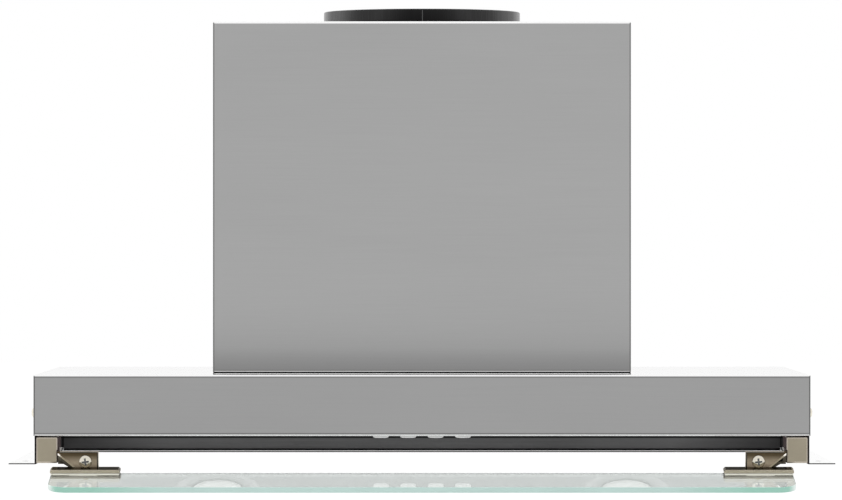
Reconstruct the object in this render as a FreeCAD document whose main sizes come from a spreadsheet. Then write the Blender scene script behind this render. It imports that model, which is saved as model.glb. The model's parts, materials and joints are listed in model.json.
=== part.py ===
"""Built-in range hood: a slim steel canopy with a glass visor on two corner hinges, under a motor box.

Millimetres, +X to the right, +Y to the back, +Z up. The origin is the middle of the four mounting holes,
on the upper face of the side flanges, where the hood meets the underside of the cabinet.
"""
import FreeCAD, Part
import math
import os
import re

import Sketcher

# Driving dimensions, in millimetres, degrees and counts.
SIZES = {
    # Sheet metal and clearances
    "sheet": 0.8,
    "fit_gap": 0.3,
    "running_gap": 0.05,
    # Canopy
    "canopy_width": 562,
    "canopy_depth": 300,
    "canopy_height": 64,
    "fascia_height": 44,
    "flange_reach": 18.8,
    "flange_hole": 4.5,
    "flange_hole_inset": 45,
    "hem_depth": 6,
    "inlet_width": 230,
    "inlet_depth": 170,
    "cover_screw_inset": 20,
    "cover_screw_rise": 16,
    # Lamp panel on the underside, with two lamps and four buttons in one row
    "panel_depth": 88,
    "panel_return": 22,
    "row_inset": 38,
    "lamp_spacing": 299,
    "lamp_bezel": 62,
    "lamp_lens": 36,
    "lamp_housing": 52,
    "lamp_housing_height": 24,
    "lamp_rim": 1.6,
    "button_size": 11.6,
    "button_corner": 3,
    "button_pitch": 20,
    "button_proud": 2.8,
    "button_travel": 1.5,
    "button_keeper": 1.4,
    "keeper_reach": 1.5,
    "switch_width": 96,
    "switch_depth": 26,
    "switch_height": 22,
    "switch_foot": 6,
    # Visor hinges in the front corners
    "block_width": 16,
    "block_depth": 26,
    "block_height": 19,
    "block_screw_inset": 7,
    "block_screw_low": 5,
    "block_screw_pitch": 9,
    "hinge_inset": 10,
    "hinge_height": 7.5,
    "hinge_pin": 5,
    "pin_seat": 12,
    "pin_head_height": 1.2,
    "arm_plate": 2.2,
    "arm_width": 28,
    "arm_eye": 7.2,
    "arm_slant": 8,
    "arm_screw_inset": 8,
    # Glass visor and its clamps, measured square to the glass from the hinge axis
    "visor_tilt": 9,
    "visor_reach": 13.1,
    "visor_drop": 12.4,
    "glass_width": 536,
    "glass_depth": 54,
    "glass_thickness": 4,
    "glass_corner": 14,
    "jaw_width": 50.6,
    "jaw_depth": 12,
    "jaw_height": 3.2,
    "jaw_middle": 243,
    "jaw_chamfer": 2,
    "spine_width": 15,
    "spine_depth": 5,
    "lower_jaw_height": 2.4,
    "pad_thickness": 0.8,
    "arm_screw_head": 7.6,
    "arm_screw_head_height": 2.8,
    # Grease filters
    "filter_height": 9,
    "filter_clearance": 2.2,
    "filter_rim": 10,
    "filter_front_rim": 26,
    "filter_lip": 2,
    "filter_mesh_height": 4,
    "filter_lift": 2,
    "filter_pivot_inset": 11.2,
    "filter_roll": 4,
    "filter_web": 9,
    "mesh_columns": 14,
    "mesh_rows": 8,
    "mesh_bar": 3,
    "latch_width": 46,
    "latch_depth": 14,
    "latch_height": 5,
    "latch_travel": 4,
    "latch_wall": 3,
    "latch_grip": 6,
    "tongue_width": 22,
    "tongue_height": 2.4,
    "tongue_lift": 1.5,
    "support_width": 14,
    "support_inset": 20,
    "support_depth": 2,
    # Motor box
    "box_width": 308,
    "box_depth": 219,
    "box_height": 258.5,
    "box_rear_gap": 1,
    "box_shadow_gap": 0.8,
    "box_flange": 15,
    "box_screw_inset": 30,
    # Duct collar and its non-return flaps
    "collar_diameter": 148,
    "collar_wall": 3,
    "collar_step": 1.5,
    "collar_height": 11,
    "collar_flange": 8,
    "collar_flange_height": 2,
    "flap_rise": 3,
    "flap_ledge": 3.5,
    "flap_thickness": 1.2,
    "flap_pin": 3,
    "flap_pin_seat": 1.2,
    "flap_knuckle": 5.4,
    "knuckle_length": 24,
    "knuckle_gap": 1.2,
    # Blower
    "scroll_rear_gap": 8.7,
    "blower_lift": 112,
    "scroll_width": 150,
    "scroll_wall": 2,
    "scroll_radius": 92,
    "scroll_shift": 8,
    "scroll_closing_shift": 3,
    "scroll_cut_off": 62,
    "inlet_hole": 118,
    "wheel_diameter": 140,
    "wheel_width": 124,
    "wheel_ring": 4,
    "wheel_disc": 2,
    "blade_count": 36,
    "blade_height": 12,
    "blade_thickness": 1.2,
    "blade_lean": 5,
    "hub_diameter": 24,
    "hub_length": 22,
    # Motor, held in the left inlet of the blower
    "motor_diameter": 80,
    "motor_wall": 2.5,
    "bell_length": 26,
    "stator_length": 12,
    "stator_bore": 46,
    "air_gap": 0.4,
    "rotor_overhang": 4,
    "shaft_diameter": 8,
    "bearing_diameter": 19,
    "bearing_length": 6,
    "spider_plate": 2,
    "spider_hub": 56,
    "spider_arm": 14,
    "spider_bolt_circle": 132,
    # Electrical parts and fasteners
    "capacitor_diameter": 32,
    "capacitor_height": 58,
    "capacitor_offset": 60,
    "terminal_depth": 80,
    "terminal_width": 34,
    "terminal_height": 60,
    "terminal_wall": 2,
    "terminal_lift": 120,
    "gland_diameter": 16,
    "gland_rim": 3,
    "gland_height": 4,
    "gland_inset": 36,
    "gland_plate": 52,
    "gland_window": 40,
    "cable_hole": 8,
    "screw_head": 7.2,
    "screw_head_height": 1.8,
    "screw_shank": 3.8,
    "screw_length": 7,
    "small_head": 4.4,
    "low_head": 6,
    "low_head_height": 0.9,
    "small_shank": 2.8,
}

# Places and sizes that follow from the driving dimensions.
DERIVED = {
    "front": "-canopy_depth / 2",
    "back": "canopy_depth / 2",
    "skirt_bottom": "canopy_height - fascia_height",
    "wall_outer": "canopy_width / 2 - sheet",
    "wall_inner": "canopy_width / 2 - 2 * sheet",
    "cover_screw_z": "skirt_bottom + cover_screw_rise",
    "screw_hole": "screw_shank + 2 * fit_gap",
    "screw_thread": "screw_shank + 2 * running_gap",
    "panel_top": "skirt_bottom + sheet",
    "panel_front": "front + sheet",
    "panel_rear": "panel_front + panel_depth",
    "row_y": "front + row_inset",
    "button_opening": "button_size + 2 * fit_gap",
    "keeper_size": "button_size + 2 * keeper_reach",
    "block_inner": "wall_inner - block_width",
    "block_screw_y": "front + sheet + block_depth - block_screw_inset",
    "axle_y": "front + hinge_inset",
    "arm_outer": "block_inner - fit_gap",
    "arm_cheek": "arm_outer - arm_plate",
    "arm_inner": "arm_outer - arm_width",
    "arm_screw_x": "arm_inner + arm_screw_inset",
    "glass_top": "-visor_drop",
    "glass_bottom": "-visor_drop - glass_thickness",
    "glass_rear": "-visor_reach - fit_gap",
    "jaw_bottom": "glass_top + pad_thickness",
    "jaw_top": "jaw_bottom + jaw_height",
    "jaw_left": "jaw_middle - jaw_width / 2",
    "jaw_right": "jaw_middle + jaw_width / 2",
    "jaw_front": "-visor_reach - jaw_depth",
    "lower_jaw_top": "glass_bottom - pad_thickness",
    "lower_jaw_bottom": "lower_jaw_top - lower_jaw_height",
    "arm_screw_z": "jaw_top + arm_screw_head / 2 + fit_gap",
    "spine_middle": "-visor_reach + spine_depth / 2",
    "filter_pivot_y": "back - filter_pivot_inset",
    "filter_bottom": "panel_top + filter_lift",
    "filter_pivot_z": "filter_bottom + filter_height / 2",
    "filter_front": "panel_rear + filter_clearance",
    "filter_rear": "filter_pivot_y - filter_web",
    "filter_outer": "wall_inner - 2 * fit_gap",
    "filter_inner": "2 * fit_gap",
    "filter_width": "filter_outer - filter_inner",
    "filter_middle": "(filter_outer + filter_inner) / 2",
    "latch_front": "filter_front + latch_wall",
    "latch_tongue": "latch_wall + filter_clearance - fit_gap",
    "tongue_z": "filter_bottom + tongue_lift",
    "box_back": "back - box_rear_gap",
    "box_front": "box_back - box_depth",
    "box_mid": "box_front + box_depth / 2",
    "box_top": "canopy_height + box_height",
    "box_inner": "box_width / 2 - sheet",
    "box_screw_y": "box_back - box_flange / 2",
    "gland_x": "gland_inset - box_width / 2",
    "gland_y": "box_back - gland_inset",
    "collar_base": "box_top - sheet - collar_flange_height",
    "collar_inner": "collar_diameter / 2 - collar_wall",
    "collar_neck": "collar_diameter / 2 - collar_step",
    "flap_level": "box_top + flap_rise",
    "flap_bottom": "flap_level + fit_gap",
    "flap_radius": "collar_inner - fit_gap",
    "flap_pin_z": "flap_bottom + flap_knuckle / 2",
    "flap_pin_half": "collar_inner + flap_pin_seat",
    "blower_y": "box_back - sheet - scroll_rear_gap - scroll_radius + scroll_shift",
    "blower_z": "canopy_height + blower_lift",
    "scroll_top": "collar_base - blower_z",
    "wheel_radius": "wheel_diameter / 2",
    "shaft_bore": "shaft_diameter / 2 + running_gap / 2",
    "motor_left": "-scroll_width / 2",
    "motor_length": "2 * bell_length + stator_length",
    "spider_radius": "spider_bolt_circle / 2",
    "terminal_z": "canopy_height + terminal_lift",
    "terminal_y": "box_mid - terminal_depth / 2",
}

SIDES = ((-1, "left"), (1, "right"))
LAMP_ROW = ("-lamp_spacing / 2", "lamp_spacing / 2")
BUTTON_ROW = [f"({n} - 1.5) * button_pitch" for n in range(4)]
COVER_SCREW_ROWS = ("front + cover_screw_inset", "back - cover_screw_inset")
BLOCK_SCREW_ROWS = ("block_screw_low", "block_screw_low + block_screw_pitch")
BOX_SCREW_ROWS = (
    "canopy_height + box_screw_inset",
    "canopy_height + box_height / 2",
    "box_top - box_screw_inset",
)
SPIDER_ANGLES = [math.radians(turn) for turn in (0, 120, 240)]
WORD = re.compile(r"[a-z_]+")
NODES = {}

doc = FreeCAD.newDocument("range_hood")
sizes = doc.addObject("Spreadsheet::Sheet", "sizes")
for row, (alias, number) in enumerate(SIZES.items(), 1):
    sizes.set(f"A{row}", alias)
    sizes.set(f"B{row}", str(number))
    sizes.setAlias(f"B{row}", alias)
doc.recompute()


def formula(text):
    """An expression on the sheet's cells, with the derived names written out."""

    def written_out(match):
        word = match.group(0)
        if word in DERIVED:
            return f"({formula(DERIVED[word])})"
        return f"sizes.{word}" if word in SIZES else word

    return WORD.sub(written_out, str(text))


def value(text):
    """The number that an expression on the sheet gives."""
    return float(sizes.evalExpression(formula(text)))


def bind(item, **expressions):
    """Bind properties of an object to the sheet."""
    for name, text in expressions.items():
        item.setExpression(name, formula(text))
    return item


def place(item, at):
    """Bind an object's place to the sheet."""
    for axis, text in zip("xyz", at):
        item.setExpression(f"Placement.Base.{axis}", formula(text))
    return item


def turn(item, axis, degrees):
    """Turn an object about an axis through its own origin."""
    item.Placement = FreeCAD.Placement(FreeCAD.Vector(), FreeCAD.Rotation(FreeCAD.Vector(*axis), degrees))
    return item


def box(name, size, corner):
    """A block from its lowest corner."""
    item = doc.addObject("Part::Box", name)
    bind(item, Length=size[0], Width=size[1], Height=size[2])
    return place(item, corner)


TURNS = {
    "X": ((0, 1, 0), 90),
    "-X": ((0, 1, 0), -90),
    "Y": ((1, 0, 0), -90),
    "-Y": ((1, 0, 0), 90),
    "Z": ((0, 0, 1), 0),
    "-Z": ((1, 0, 0), 180),
}


def rod(name, diameter, length, start, axis="Z"):
    """A cylinder that runs from start along an axis."""
    item = doc.addObject("Part::Cylinder", name)
    turn(item, *TURNS[axis])
    bind(item, Radius=f"({diameter}) / 2", Height=length)
    return place(item, start)


def fuse(name, *pieces):
    """One solid from pieces that overlap or share a face."""
    item = doc.addObject("Part::MultiFuse", name)
    item.Shapes = list(pieces)
    return item


def cut(name, base, *tools):
    """A piece with one or more others taken out of it."""
    item = doc.addObject("Part::Cut", name)
    item.Base = base
    item.Tool = tools[0] if len(tools) == 1 else fuse(name + "_tools", *tools)
    return item


def group(name, *pieces):
    """Separate solids that share one node."""
    item = doc.addObject("Part::Compound", name)
    item.Links = list(pieces)
    return item


def mirrored(name, source):
    """The same piece on the other side of the middle plane."""
    item = doc.addObject("Part::Mirroring", name)
    item.Source = source
    item.Normal = FreeCAD.Vector(1, 0, 0)
    return item


def node(name, item):
    """Name a finished sub-part."""
    item.Label = name
    NODES[name] = item
    return item


def signed(side, text):
    """An expression for the right side, or its negative for the left."""
    return f"{side} * ({text})"


def inwards(side):
    """The axis that points from a side to the middle."""
    return "-X" if side > 0 else "X"


def outline_sketch(body, role, name, outlines):
    """A sketch of closed straight-sided outlines, each corner bound to the sheet."""
    sketch = body.newObject("Sketcher::SketchObject", name)
    plane = next(f for f in body.Origin.OriginFeatures if f.Role == role)
    sketch.AttachmentSupport = [(plane, "")]
    sketch.MapMode = "FlatFace"
    for corners in outlines:
        first = sketch.GeometryCount
        count = len(corners)
        points = [FreeCAD.Vector(value(a), value(b), 0) for a, b in corners]
        for i in range(count):
            sketch.addGeometry(Part.LineSegment(points[i], points[(i + 1) % count]), False)
        for i in range(count):
            after = first + (i + 1) % count
            sketch.addConstraint(Sketcher.Constraint("Coincident", first + i, 2, after, 1))
        for i, corner in enumerate(corners):
            for kind, text, number in zip(("DistanceX", "DistanceY"), corner, points[i]):
                index = sketch.addConstraint(Sketcher.Constraint(kind, -1, 1, first + i, 1, number))
                sketch.setExpression(f"Constraints[{index}]", formula(text))
    return sketch


def padded_body(name, role, outline, length):
    """A body padded from one outline, along -Y from the XZ plane and along +Z from the XY plane."""
    body = doc.addObject("PartDesign::Body", name)
    pad_profile = outline_sketch(body, role, name + "_outline", [outline])
    pad = body.newObject("PartDesign::Pad", name + "_pad")
    pad.Profile = pad_profile
    bind(pad, Length=length)
    return body


def revolve(body, name, sketch, axis):
    """Turn a sketch full circle about one of its own axes."""
    turned = body.newObject("PartDesign::Revolution", name)
    turned.Profile = sketch
    turned.ReferenceAxis = (sketch, [axis])
    turned.Angle = 360
    return turned


def turned_body(name, outline):
    """A body turned about its own Z axis from a half-section, given as radius and height."""
    body = doc.addObject("PartDesign::Body", name)
    revolve(body, name + "_turned", outline_sketch(body, "XZ_Plane", name + "_section", [outline]), "V_Axis")
    return body


def ring_outline(inner, outer, low, high):
    """The half-section of a plain ring."""
    return [(inner, low), (outer, low), (outer, high), (inner, high)]


def round_edges(body, name, radius, chosen):
    """Fillet the edges of a body's last feature that a test picks."""
    doc.recompute()
    base = body.Tip
    names = [f"Edge{i}" for i, edge in enumerate(base.Shape.Edges, 1) if chosen(edge)]
    rounding = body.newObject("PartDesign::Fillet", name)
    rounding.Base = (base, names)
    bind(rounding, Radius=radius)
    return rounding


def is_upright(edge):
    """Whether an edge is a straight one along Z."""
    return isinstance(edge.Curve, Part.Line) and abs(edge.Curve.Direction.z) > 0.999


def screw(name, head, head_height, shank, length, under_head, axis):
    """A screw whose shank runs along an axis from under its head."""
    opposite = axis[1:] if axis.startswith("-") else "-" + axis
    cap = rod(name + "_head", head, head_height, under_head, opposite)
    stem = rod(name + "_shank", shank, length, under_head, axis)
    return fuse(name, cap, stem)


def pan_screw(name, under_head, axis):
    """One of the sheet-metal screws that hold the canopy and the motor box together."""
    return screw(name, "screw_head", "screw_head_height", "screw_shank", "screw_length", under_head, axis)


# Canopy


def canopy_cover():
    """The skin: front fascia, top and side skirts, open below and behind, with the blower's inlet."""
    skin = box(
        "cover_skin",
        ("canopy_width", "canopy_depth", "fascia_height"),
        ("-canopy_width / 2", "front", "skirt_bottom"),
    )
    hollow = box(
        "cover_hollow",
        ("2 * wall_outer", "canopy_depth", "fascia_height - sheet"),
        ("-wall_outer", "front + sheet", "skirt_bottom"),
    )
    inlet = box(
        "cover_inlet",
        ("inlet_width", "inlet_depth", "3 * sheet"),
        ("-inlet_width / 2", "box_mid - inlet_depth / 2", "canopy_height - 2 * sheet"),
    )
    holes = [
        rod(
            f"cover_hole_{n}",
            "screw_hole",
            "canopy_width + 2 * sheet",
            ("-canopy_width / 2 - sheet", y, "cover_screw_z"),
            "X",
        )
        for n, y in enumerate(COVER_SCREW_ROWS)
    ]
    node("canopy_cover", cut("cover", skin, hollow, inlet, *holes))


def side_walls():
    """Inner side walls, each with a mounting flange turned outwards along its foot."""
    for side, name in SIDES:
        wall = padded_body(
            f"{name}_wall_sheet",
            "XZ_Plane",
            [
                (signed(side, "wall_outer"), "canopy_height - sheet"),
                (signed(side, "wall_outer"), "0"),
                (signed(side, "wall_outer + flange_reach"), "0"),
                (signed(side, "wall_outer + flange_reach"), "-sheet"),
                (signed(side, "wall_inner"), "-sheet"),
                (signed(side, "wall_inner"), "canopy_height - sheet"),
            ],
            "canopy_depth - sheet",
        )
        place(wall, ("0", "back", "0"))
        flange_x = signed(side, "wall_outer + flange_reach / 2")
        holes = [
            rod(f"{name}_flange_hole_{n}", "flange_hole", "3 * sheet", (flange_x, y, "-2 * sheet"))
            for n, y in enumerate(("front + flange_hole_inset", "back - flange_hole_inset"))
        ]
        spots = [(y, "cover_screw_z") for y in COVER_SCREW_ROWS]
        spots += [("block_screw_y", z) for z in BLOCK_SCREW_ROWS]
        start = signed(side, "wall_outer + sheet")
        holes += [
            rod(f"{name}_screw_hole_{n}", "screw_hole", "3 * sheet", (start, y, z), inwards(side))
            for n, (y, z) in enumerate(spots)
        ]
        node(f"{name}_side_wall", cut(f"{name}_wall", wall, *holes))


def back_wall():
    """The rear wall between the side walls, with a hem turned in along its foot."""
    width = "2 * wall_inner"
    left = "-wall_inner"
    wall = box("back_sheet", (width, "sheet", "canopy_height"), (left, "back - sheet", "-sheet"))
    hem = box("back_hem", (width, "hem_depth", "sheet"), (left, "back - hem_depth", "-sheet"))
    node("back_wall", fuse("back_folded", wall, hem))


def cover_screws():
    """Domed screws through the skirts into the side walls."""
    screws = [
        pan_screw(
            f"{name}_cover_screw_{n}",
            (signed(side, "canopy_width / 2"), y, "cover_screw_z"),
            inwards(side),
        )
        for side, name in SIDES
        for n, y in enumerate(COVER_SCREW_ROWS)
    ]
    node("cover_screws", group("cover_screw_group", *screws))


# Lamp panel, lamps and buttons


def lamp_panel():
    """The underside panel behind the fascia, with turned-up front and rear edges."""
    width = "2 * wall_inner - 2 * fit_gap"
    left = "-wall_inner + fit_gap"
    plate = box("panel_plate", (width, "panel_depth", "sheet"), (left, "panel_front", "skirt_bottom"))
    returns = [
        box(f"panel_return_{n}", (width, "sheet", "panel_return"), (left, y, "skirt_bottom"))
        for n, y in enumerate(("panel_front", "panel_rear - sheet"))
    ]
    low = "skirt_bottom - sheet"
    holes = [
        rod(f"lamp_hole_{n}", "lamp_housing + 2 * fit_gap", "3 * sheet", (x, "row_y", low))
        for n, x in enumerate(LAMP_ROW)
    ]
    holes += [
        box(
            f"button_hole_{n}",
            ("button_opening", "button_opening", "3 * sheet"),
            (f"{x} - button_opening / 2", "row_y - button_opening / 2", low),
        )
        for n, x in enumerate(BUTTON_ROW)
    ]
    node("lamp_panel", cut("panel", fuse("panel_folded", plate, *returns), *holes))


def lamps():
    """Two recessed lamps: a turned bezel under the panel, a lens in it and a heat-sink housing above."""
    rim_inner = "lamp_lens / 2 + fit_gap"
    bezel_section = [
        (rim_inner, "-lamp_rim"),
        ("lamp_bezel / 2 - lamp_rim", "-lamp_rim"),
        ("lamp_bezel / 2", "0"),
        ("lamp_housing / 2", "0"),
        ("lamp_housing / 2", "sheet"),
        (rim_inner, "sheet"),
    ]
    lens_section = ring_outline("0", "lamp_lens / 2", "-lamp_rim / 2", "sheet")
    housing_section = [
        ("0", "sheet"),
        ("lamp_housing / 2", "sheet"),
        ("lamp_housing / 2", "sheet + lamp_housing_height / 2"),
        ("lamp_lens / 2", "sheet + lamp_housing_height"),
        ("0", "sheet + lamp_housing_height"),
    ]
    sections = {
        "lamp_bezels": bezel_section,
        "lamp_lenses": lens_section,
        "lamp_housings": housing_section,
    }
    for label, section in sections.items():
        pair = [
            place(turned_body(f"{label}_{n}", section), (x, "row_y", "skirt_bottom"))
            for n, x in enumerate(LAMP_ROW)
        ]
        node(label, group(f"{label}_pair", *pair))


def buttons():
    """Four push buttons that stand through the panel, each with a keeper that stops it falling out."""
    half = "button_size / 2"
    square = [(f"-{half}", f"-{half}"), (half, f"-{half}"), (half, half), (f"-{half}", half)]
    for n, x in enumerate(BUTTON_ROW):
        cap = padded_body(f"cap_{n}", "XY_Plane", square, "button_proud + sheet + fit_gap + button_keeper")
        round_edges(cap, f"cap_round_{n}", "button_corner", is_upright)
        place(cap, (x, "row_y", "skirt_bottom - button_proud"))
        keeper = box(
            f"keeper_{n}",
            ("keeper_size", "keeper_size", "button_keeper"),
            (f"{x} - keeper_size / 2", "row_y - keeper_size / 2", "panel_top + fit_gap"),
        )
        node(f"button_{n + 1}", fuse(f"button_fused_{n}", cap, keeper))


def switch_unit():
    """The switch housing over the buttons, standing on the panel on two feet."""
    rear = "row_y - switch_depth / 2"
    body = box(
        "switch_body",
        ("switch_width", "switch_depth", "switch_height"),
        ("-switch_width / 2", rear, "panel_top"),
    )
    tunnel = box(
        "switch_tunnel",
        (
            "switch_width - 2 * switch_foot",
            "switch_depth + 2 * fit_gap",
            "2 * fit_gap + button_keeper + button_travel",
        ),
        ("switch_foot - switch_width / 2", f"{rear} - fit_gap", "panel_top"),
    )
    node("switch_unit", cut("switch_housing", body, tunnel))


# Visor hinges, clamps and glass


def hinge_blocks():
    """Blocks in the front corners, each bored for a hinge pin and fixed through the side wall."""
    block = box(
        "block_body",
        ("block_width", "block_depth", "block_height"),
        ("block_inner", "front + sheet", "0"),
    )
    bore = rod(
        "block_bore",
        "hinge_pin + 2 * running_gap",
        "pin_seat + fit_gap",
        ("block_inner", "axle_y", "hinge_height"),
        "X",
    )
    threads = [
        rod(f"block_thread_{n}", "screw_thread", "screw_length", ("wall_inner", "block_screw_y", z), "-X")
        for n, z in enumerate(BLOCK_SCREW_ROWS)
    ]
    right = node("right_hinge_block", cut("right_block", block, bore, *threads))
    node("left_hinge_block", mirrored("left_block", right))
    screws = [
        screw(
            f"block_screw_{n}",
            "low_head",
            "low_head_height",
            "screw_shank",
            "screw_length",
            ("wall_outer", "block_screw_y", z),
            "-X",
        )
        for n, z in enumerate(BLOCK_SCREW_ROWS)
    ]
    screws += [mirrored(f"left_block_screw_{n}", item) for n, item in enumerate(screws)]
    node("hinge_block_screws", group("block_screw_group", *screws))


def hang(item):
    """Carry a piece that was drawn square to the glass about the hinge axis into its resting tilt."""
    turn(item, (1, 0, 0), value("visor_tilt"))
    item.setExpression("Placement.Rotation.Angle", formula("visor_tilt"))
    return place(item, ("0", "axle_y", "hinge_height"))


def visor_arms():
    """Bent plates from the hinge pins to the clamps: an eye on the pin and a slanted front plate."""
    plate = padded_body(
        "arm_front",
        "XZ_Plane",
        [
            ("arm_inner", "jaw_top"),
            ("arm_outer - arm_slant", "jaw_top"),
            ("arm_outer", "-arm_eye / 2"),
            ("arm_outer", "arm_eye / 2"),
            ("arm_inner", "arm_eye / 2"),
        ],
        "arm_plate",
    )
    place(plate, ("0", "-visor_reach", "0"))
    cheek = box(
        "arm_cheek_plate",
        ("arm_plate", "visor_reach + arm_plate", "arm_eye"),
        ("arm_cheek", "-visor_reach - arm_plate", "-arm_eye / 2"),
    )
    eye = rod("arm_eye_round", "arm_eye", "arm_plate", ("arm_cheek", "0", "0"), "X")
    pin_hole = rod(
        "arm_pin_hole",
        "hinge_pin + running_gap",
        "arm_plate + 2 * fit_gap",
        ("arm_cheek - fit_gap", "0", "0"),
        "X",
    )
    screw_hole = rod(
        "arm_screw_hole",
        "screw_hole",
        "arm_plate + 2 * fit_gap",
        ("arm_screw_x", "-visor_reach - arm_plate - fit_gap", "arm_screw_z"),
        "Y",
    )
    bent = fuse("arm_bent", plate, cheek, eye)
    right = node("right_visor_arm", hang(cut("right_arm", bent, pin_hole, screw_hole)))
    node("left_visor_arm", mirrored("left_arm", right))


def hinge_pins():
    """Headed pins: the head inside the arm's eye and the journal in the block's bore."""
    head = rod("pin_head", "arm_eye", "pin_head_height", ("arm_cheek", "0", "0"), "-X")
    journal = rod("pin_journal", "hinge_pin", "arm_plate + fit_gap + pin_seat", ("arm_cheek", "0", "0"), "X")
    right = hang(fuse("right_pin", head, journal))
    node("hinge_pins", group("hinge_pin_pair", right, mirrored("left_pin", right)))


def clamp_jaws():
    """Upper jaws with a spine behind the glass edge, and lower jaws screwed up to the spines."""
    bar = padded_body(
        "jaw_bar",
        "XZ_Plane",
        [
            ("jaw_left", "jaw_bottom"),
            ("jaw_right", "jaw_bottom"),
            ("jaw_right", "jaw_top - jaw_chamfer"),
            ("jaw_right - jaw_chamfer", "jaw_top"),
            ("jaw_left + jaw_chamfer", "jaw_top"),
            ("jaw_left", "jaw_top - jaw_chamfer"),
        ],
        "jaw_depth",
    )
    place(bar, ("0", "-visor_reach", "0"))
    spine = box(
        "jaw_spine",
        ("spine_width", "spine_depth", "arm_screw_z + arm_screw_head / 2 - lower_jaw_top"),
        ("arm_screw_x - spine_width / 2", "-visor_reach", "lower_jaw_top"),
    )
    arm_thread = rod(
        "jaw_arm_thread",
        "screw_thread",
        "spine_depth + 2 * fit_gap",
        ("arm_screw_x", "-visor_reach - fit_gap", "arm_screw_z"),
        "Y",
    )
    foot_thread = rod(
        "jaw_foot_thread",
        "small_shank + 2 * running_gap",
        "glass_thickness",
        ("arm_screw_x", "spine_middle", "lower_jaw_top"),
    )
    jaw = cut("right_jaw", fuse("jaw_fused", bar, spine), arm_thread, foot_thread)
    right = node("right_clamp_jaw", hang(jaw))
    node("left_clamp_jaw", mirrored("left_jaw", right))

    plate = box(
        "lower_plate",
        ("jaw_width", "jaw_depth + spine_depth", "lower_jaw_height"),
        ("jaw_left", "jaw_front", "lower_jaw_bottom"),
    )
    foot_hole = rod(
        "lower_hole",
        "small_shank + 2 * fit_gap",
        "lower_jaw_height + 2 * fit_gap",
        ("arm_screw_x", "spine_middle", "lower_jaw_bottom - fit_gap"),
    )
    lower = hang(cut("right_lower_jaw", plate, foot_hole))
    node("lower_clamp_jaws", group("lower_jaw_pair", lower, mirrored("left_lower_jaw", lower)))


def clamp_pads():
    """Thin pads above and below the glass."""
    pads = [
        box(f"pad_{n}", ("jaw_width", "jaw_depth", "pad_thickness"), ("jaw_left", "jaw_front", z))
        for n, z in enumerate(("glass_top", "lower_jaw_top"))
    ]
    right = hang(group("right_pads", *pads))
    node("clamp_pads", group("clamp_pad_group", right, mirrored("left_pads", right)))


def visor_screws():
    """The front screws that hold the arms to the clamps, and the small ones that draw the lower jaws up."""
    arm_screw = screw(
        "right_arm_screw",
        "arm_screw_head",
        "arm_screw_head_height",
        "screw_shank",
        "arm_plate + spine_depth",
        ("arm_screw_x", "-visor_reach - arm_plate", "arm_screw_z"),
        "Y",
    )
    foot_screw = screw(
        "right_foot_screw",
        "small_head",
        "screw_head_height",
        "small_shank",
        "lower_jaw_height + glass_thickness - fit_gap",
        ("arm_screw_x", "spine_middle", "lower_jaw_bottom"),
        "Z",
    )
    for label, right in (("arm_screws", hang(arm_screw)), ("clamp_screws", hang(foot_screw))):
        node(label, group(f"{label}_pair", right, mirrored(f"{label}_left", right)))


def visor_glass():
    """The glass visor strip, with rounded front corners."""
    half = "glass_width / 2"
    front_edge = "glass_rear - glass_depth"
    pane = padded_body(
        "pane",
        "XY_Plane",
        [(f"-{half}", front_edge), (half, front_edge), (half, "glass_rear"), (f"-{half}", "glass_rear")],
        "glass_thickness",
    )
    middle = value("glass_rear - glass_depth / 2")
    round_edges(
        pane, "pane_round", "glass_corner", lambda edge: is_upright(edge) and edge.CenterOfMass.y < middle
    )
    place(pane, ("0", "0", "glass_bottom"))
    node("visor_glass", hang(group("pane_at_drop", pane)))


# Grease filters


def filter_frames():
    """Aluminium filter frames with a rolled rear hem that hangs in the rear supports."""
    for side, name in SIDES:
        low = "filter_inner" if side > 0 else "-filter_outer"
        latch_left = f"{signed(side, 'filter_middle')} - latch_width / 2"
        tongue_left = f"{signed(side, 'filter_middle')} - tongue_width / 2"
        depth = "(filter_rear - filter_front)"
        blank = box(
            f"{name}_tray_blank",
            ("filter_width", depth, "filter_height"),
            (low, "filter_front", "filter_bottom"),
        )
        window = box(
            f"{name}_tray_window",
            (
                "filter_width - 2 * (filter_rim + filter_lip)",
                f"{depth} - filter_front_rim - filter_rim - 2 * filter_lip",
                "filter_height + 2 * fit_gap",
            ),
            (
                f"{low} + filter_rim + filter_lip",
                "filter_front + filter_front_rim + filter_lip",
                "filter_bottom - fit_gap",
            ),
        )
        pocket = box(
            f"{name}_tray_pocket",
            ("filter_width - 2 * filter_rim", f"{depth} - filter_front_rim - filter_rim", "filter_height"),
            (f"{low} + filter_rim", "filter_front + filter_front_rim", "filter_bottom + filter_lip"),
        )
        web = box(
            f"{name}_tray_web",
            ("filter_width", "filter_web", "sheet"),
            (low, "filter_rear", "filter_pivot_z - sheet / 2"),
        )
        roll = rod(
            f"{name}_tray_roll", "filter_roll", "filter_width", (low, "filter_pivot_y", "filter_pivot_z"), "X"
        )
        recess = box(
            f"{name}_latch_recess",
            (
                "latch_width + 2 * fit_gap",
                "latch_depth + latch_travel + 2 * fit_gap",
                "latch_height + fit_gap",
            ),
            (f"{latch_left} - fit_gap", "latch_front - fit_gap", "filter_bottom - fit_gap"),
        )
        slot = box(
            f"{name}_latch_slot",
            ("tongue_width + 2 * fit_gap", "latch_wall + fit_gap", "tongue_height + 2 * fit_gap"),
            (f"{tongue_left} - fit_gap", "filter_front - fit_gap", "tongue_z - fit_gap"),
        )
        tray = cut(f"{name}_tray", blank, window, pocket)
        hemmed = fuse(f"{name}_hemmed", tray, web, roll)
        node(f"{name}_filter_frame", cut(f"{name}_frame", hemmed, recess, slot))


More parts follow.
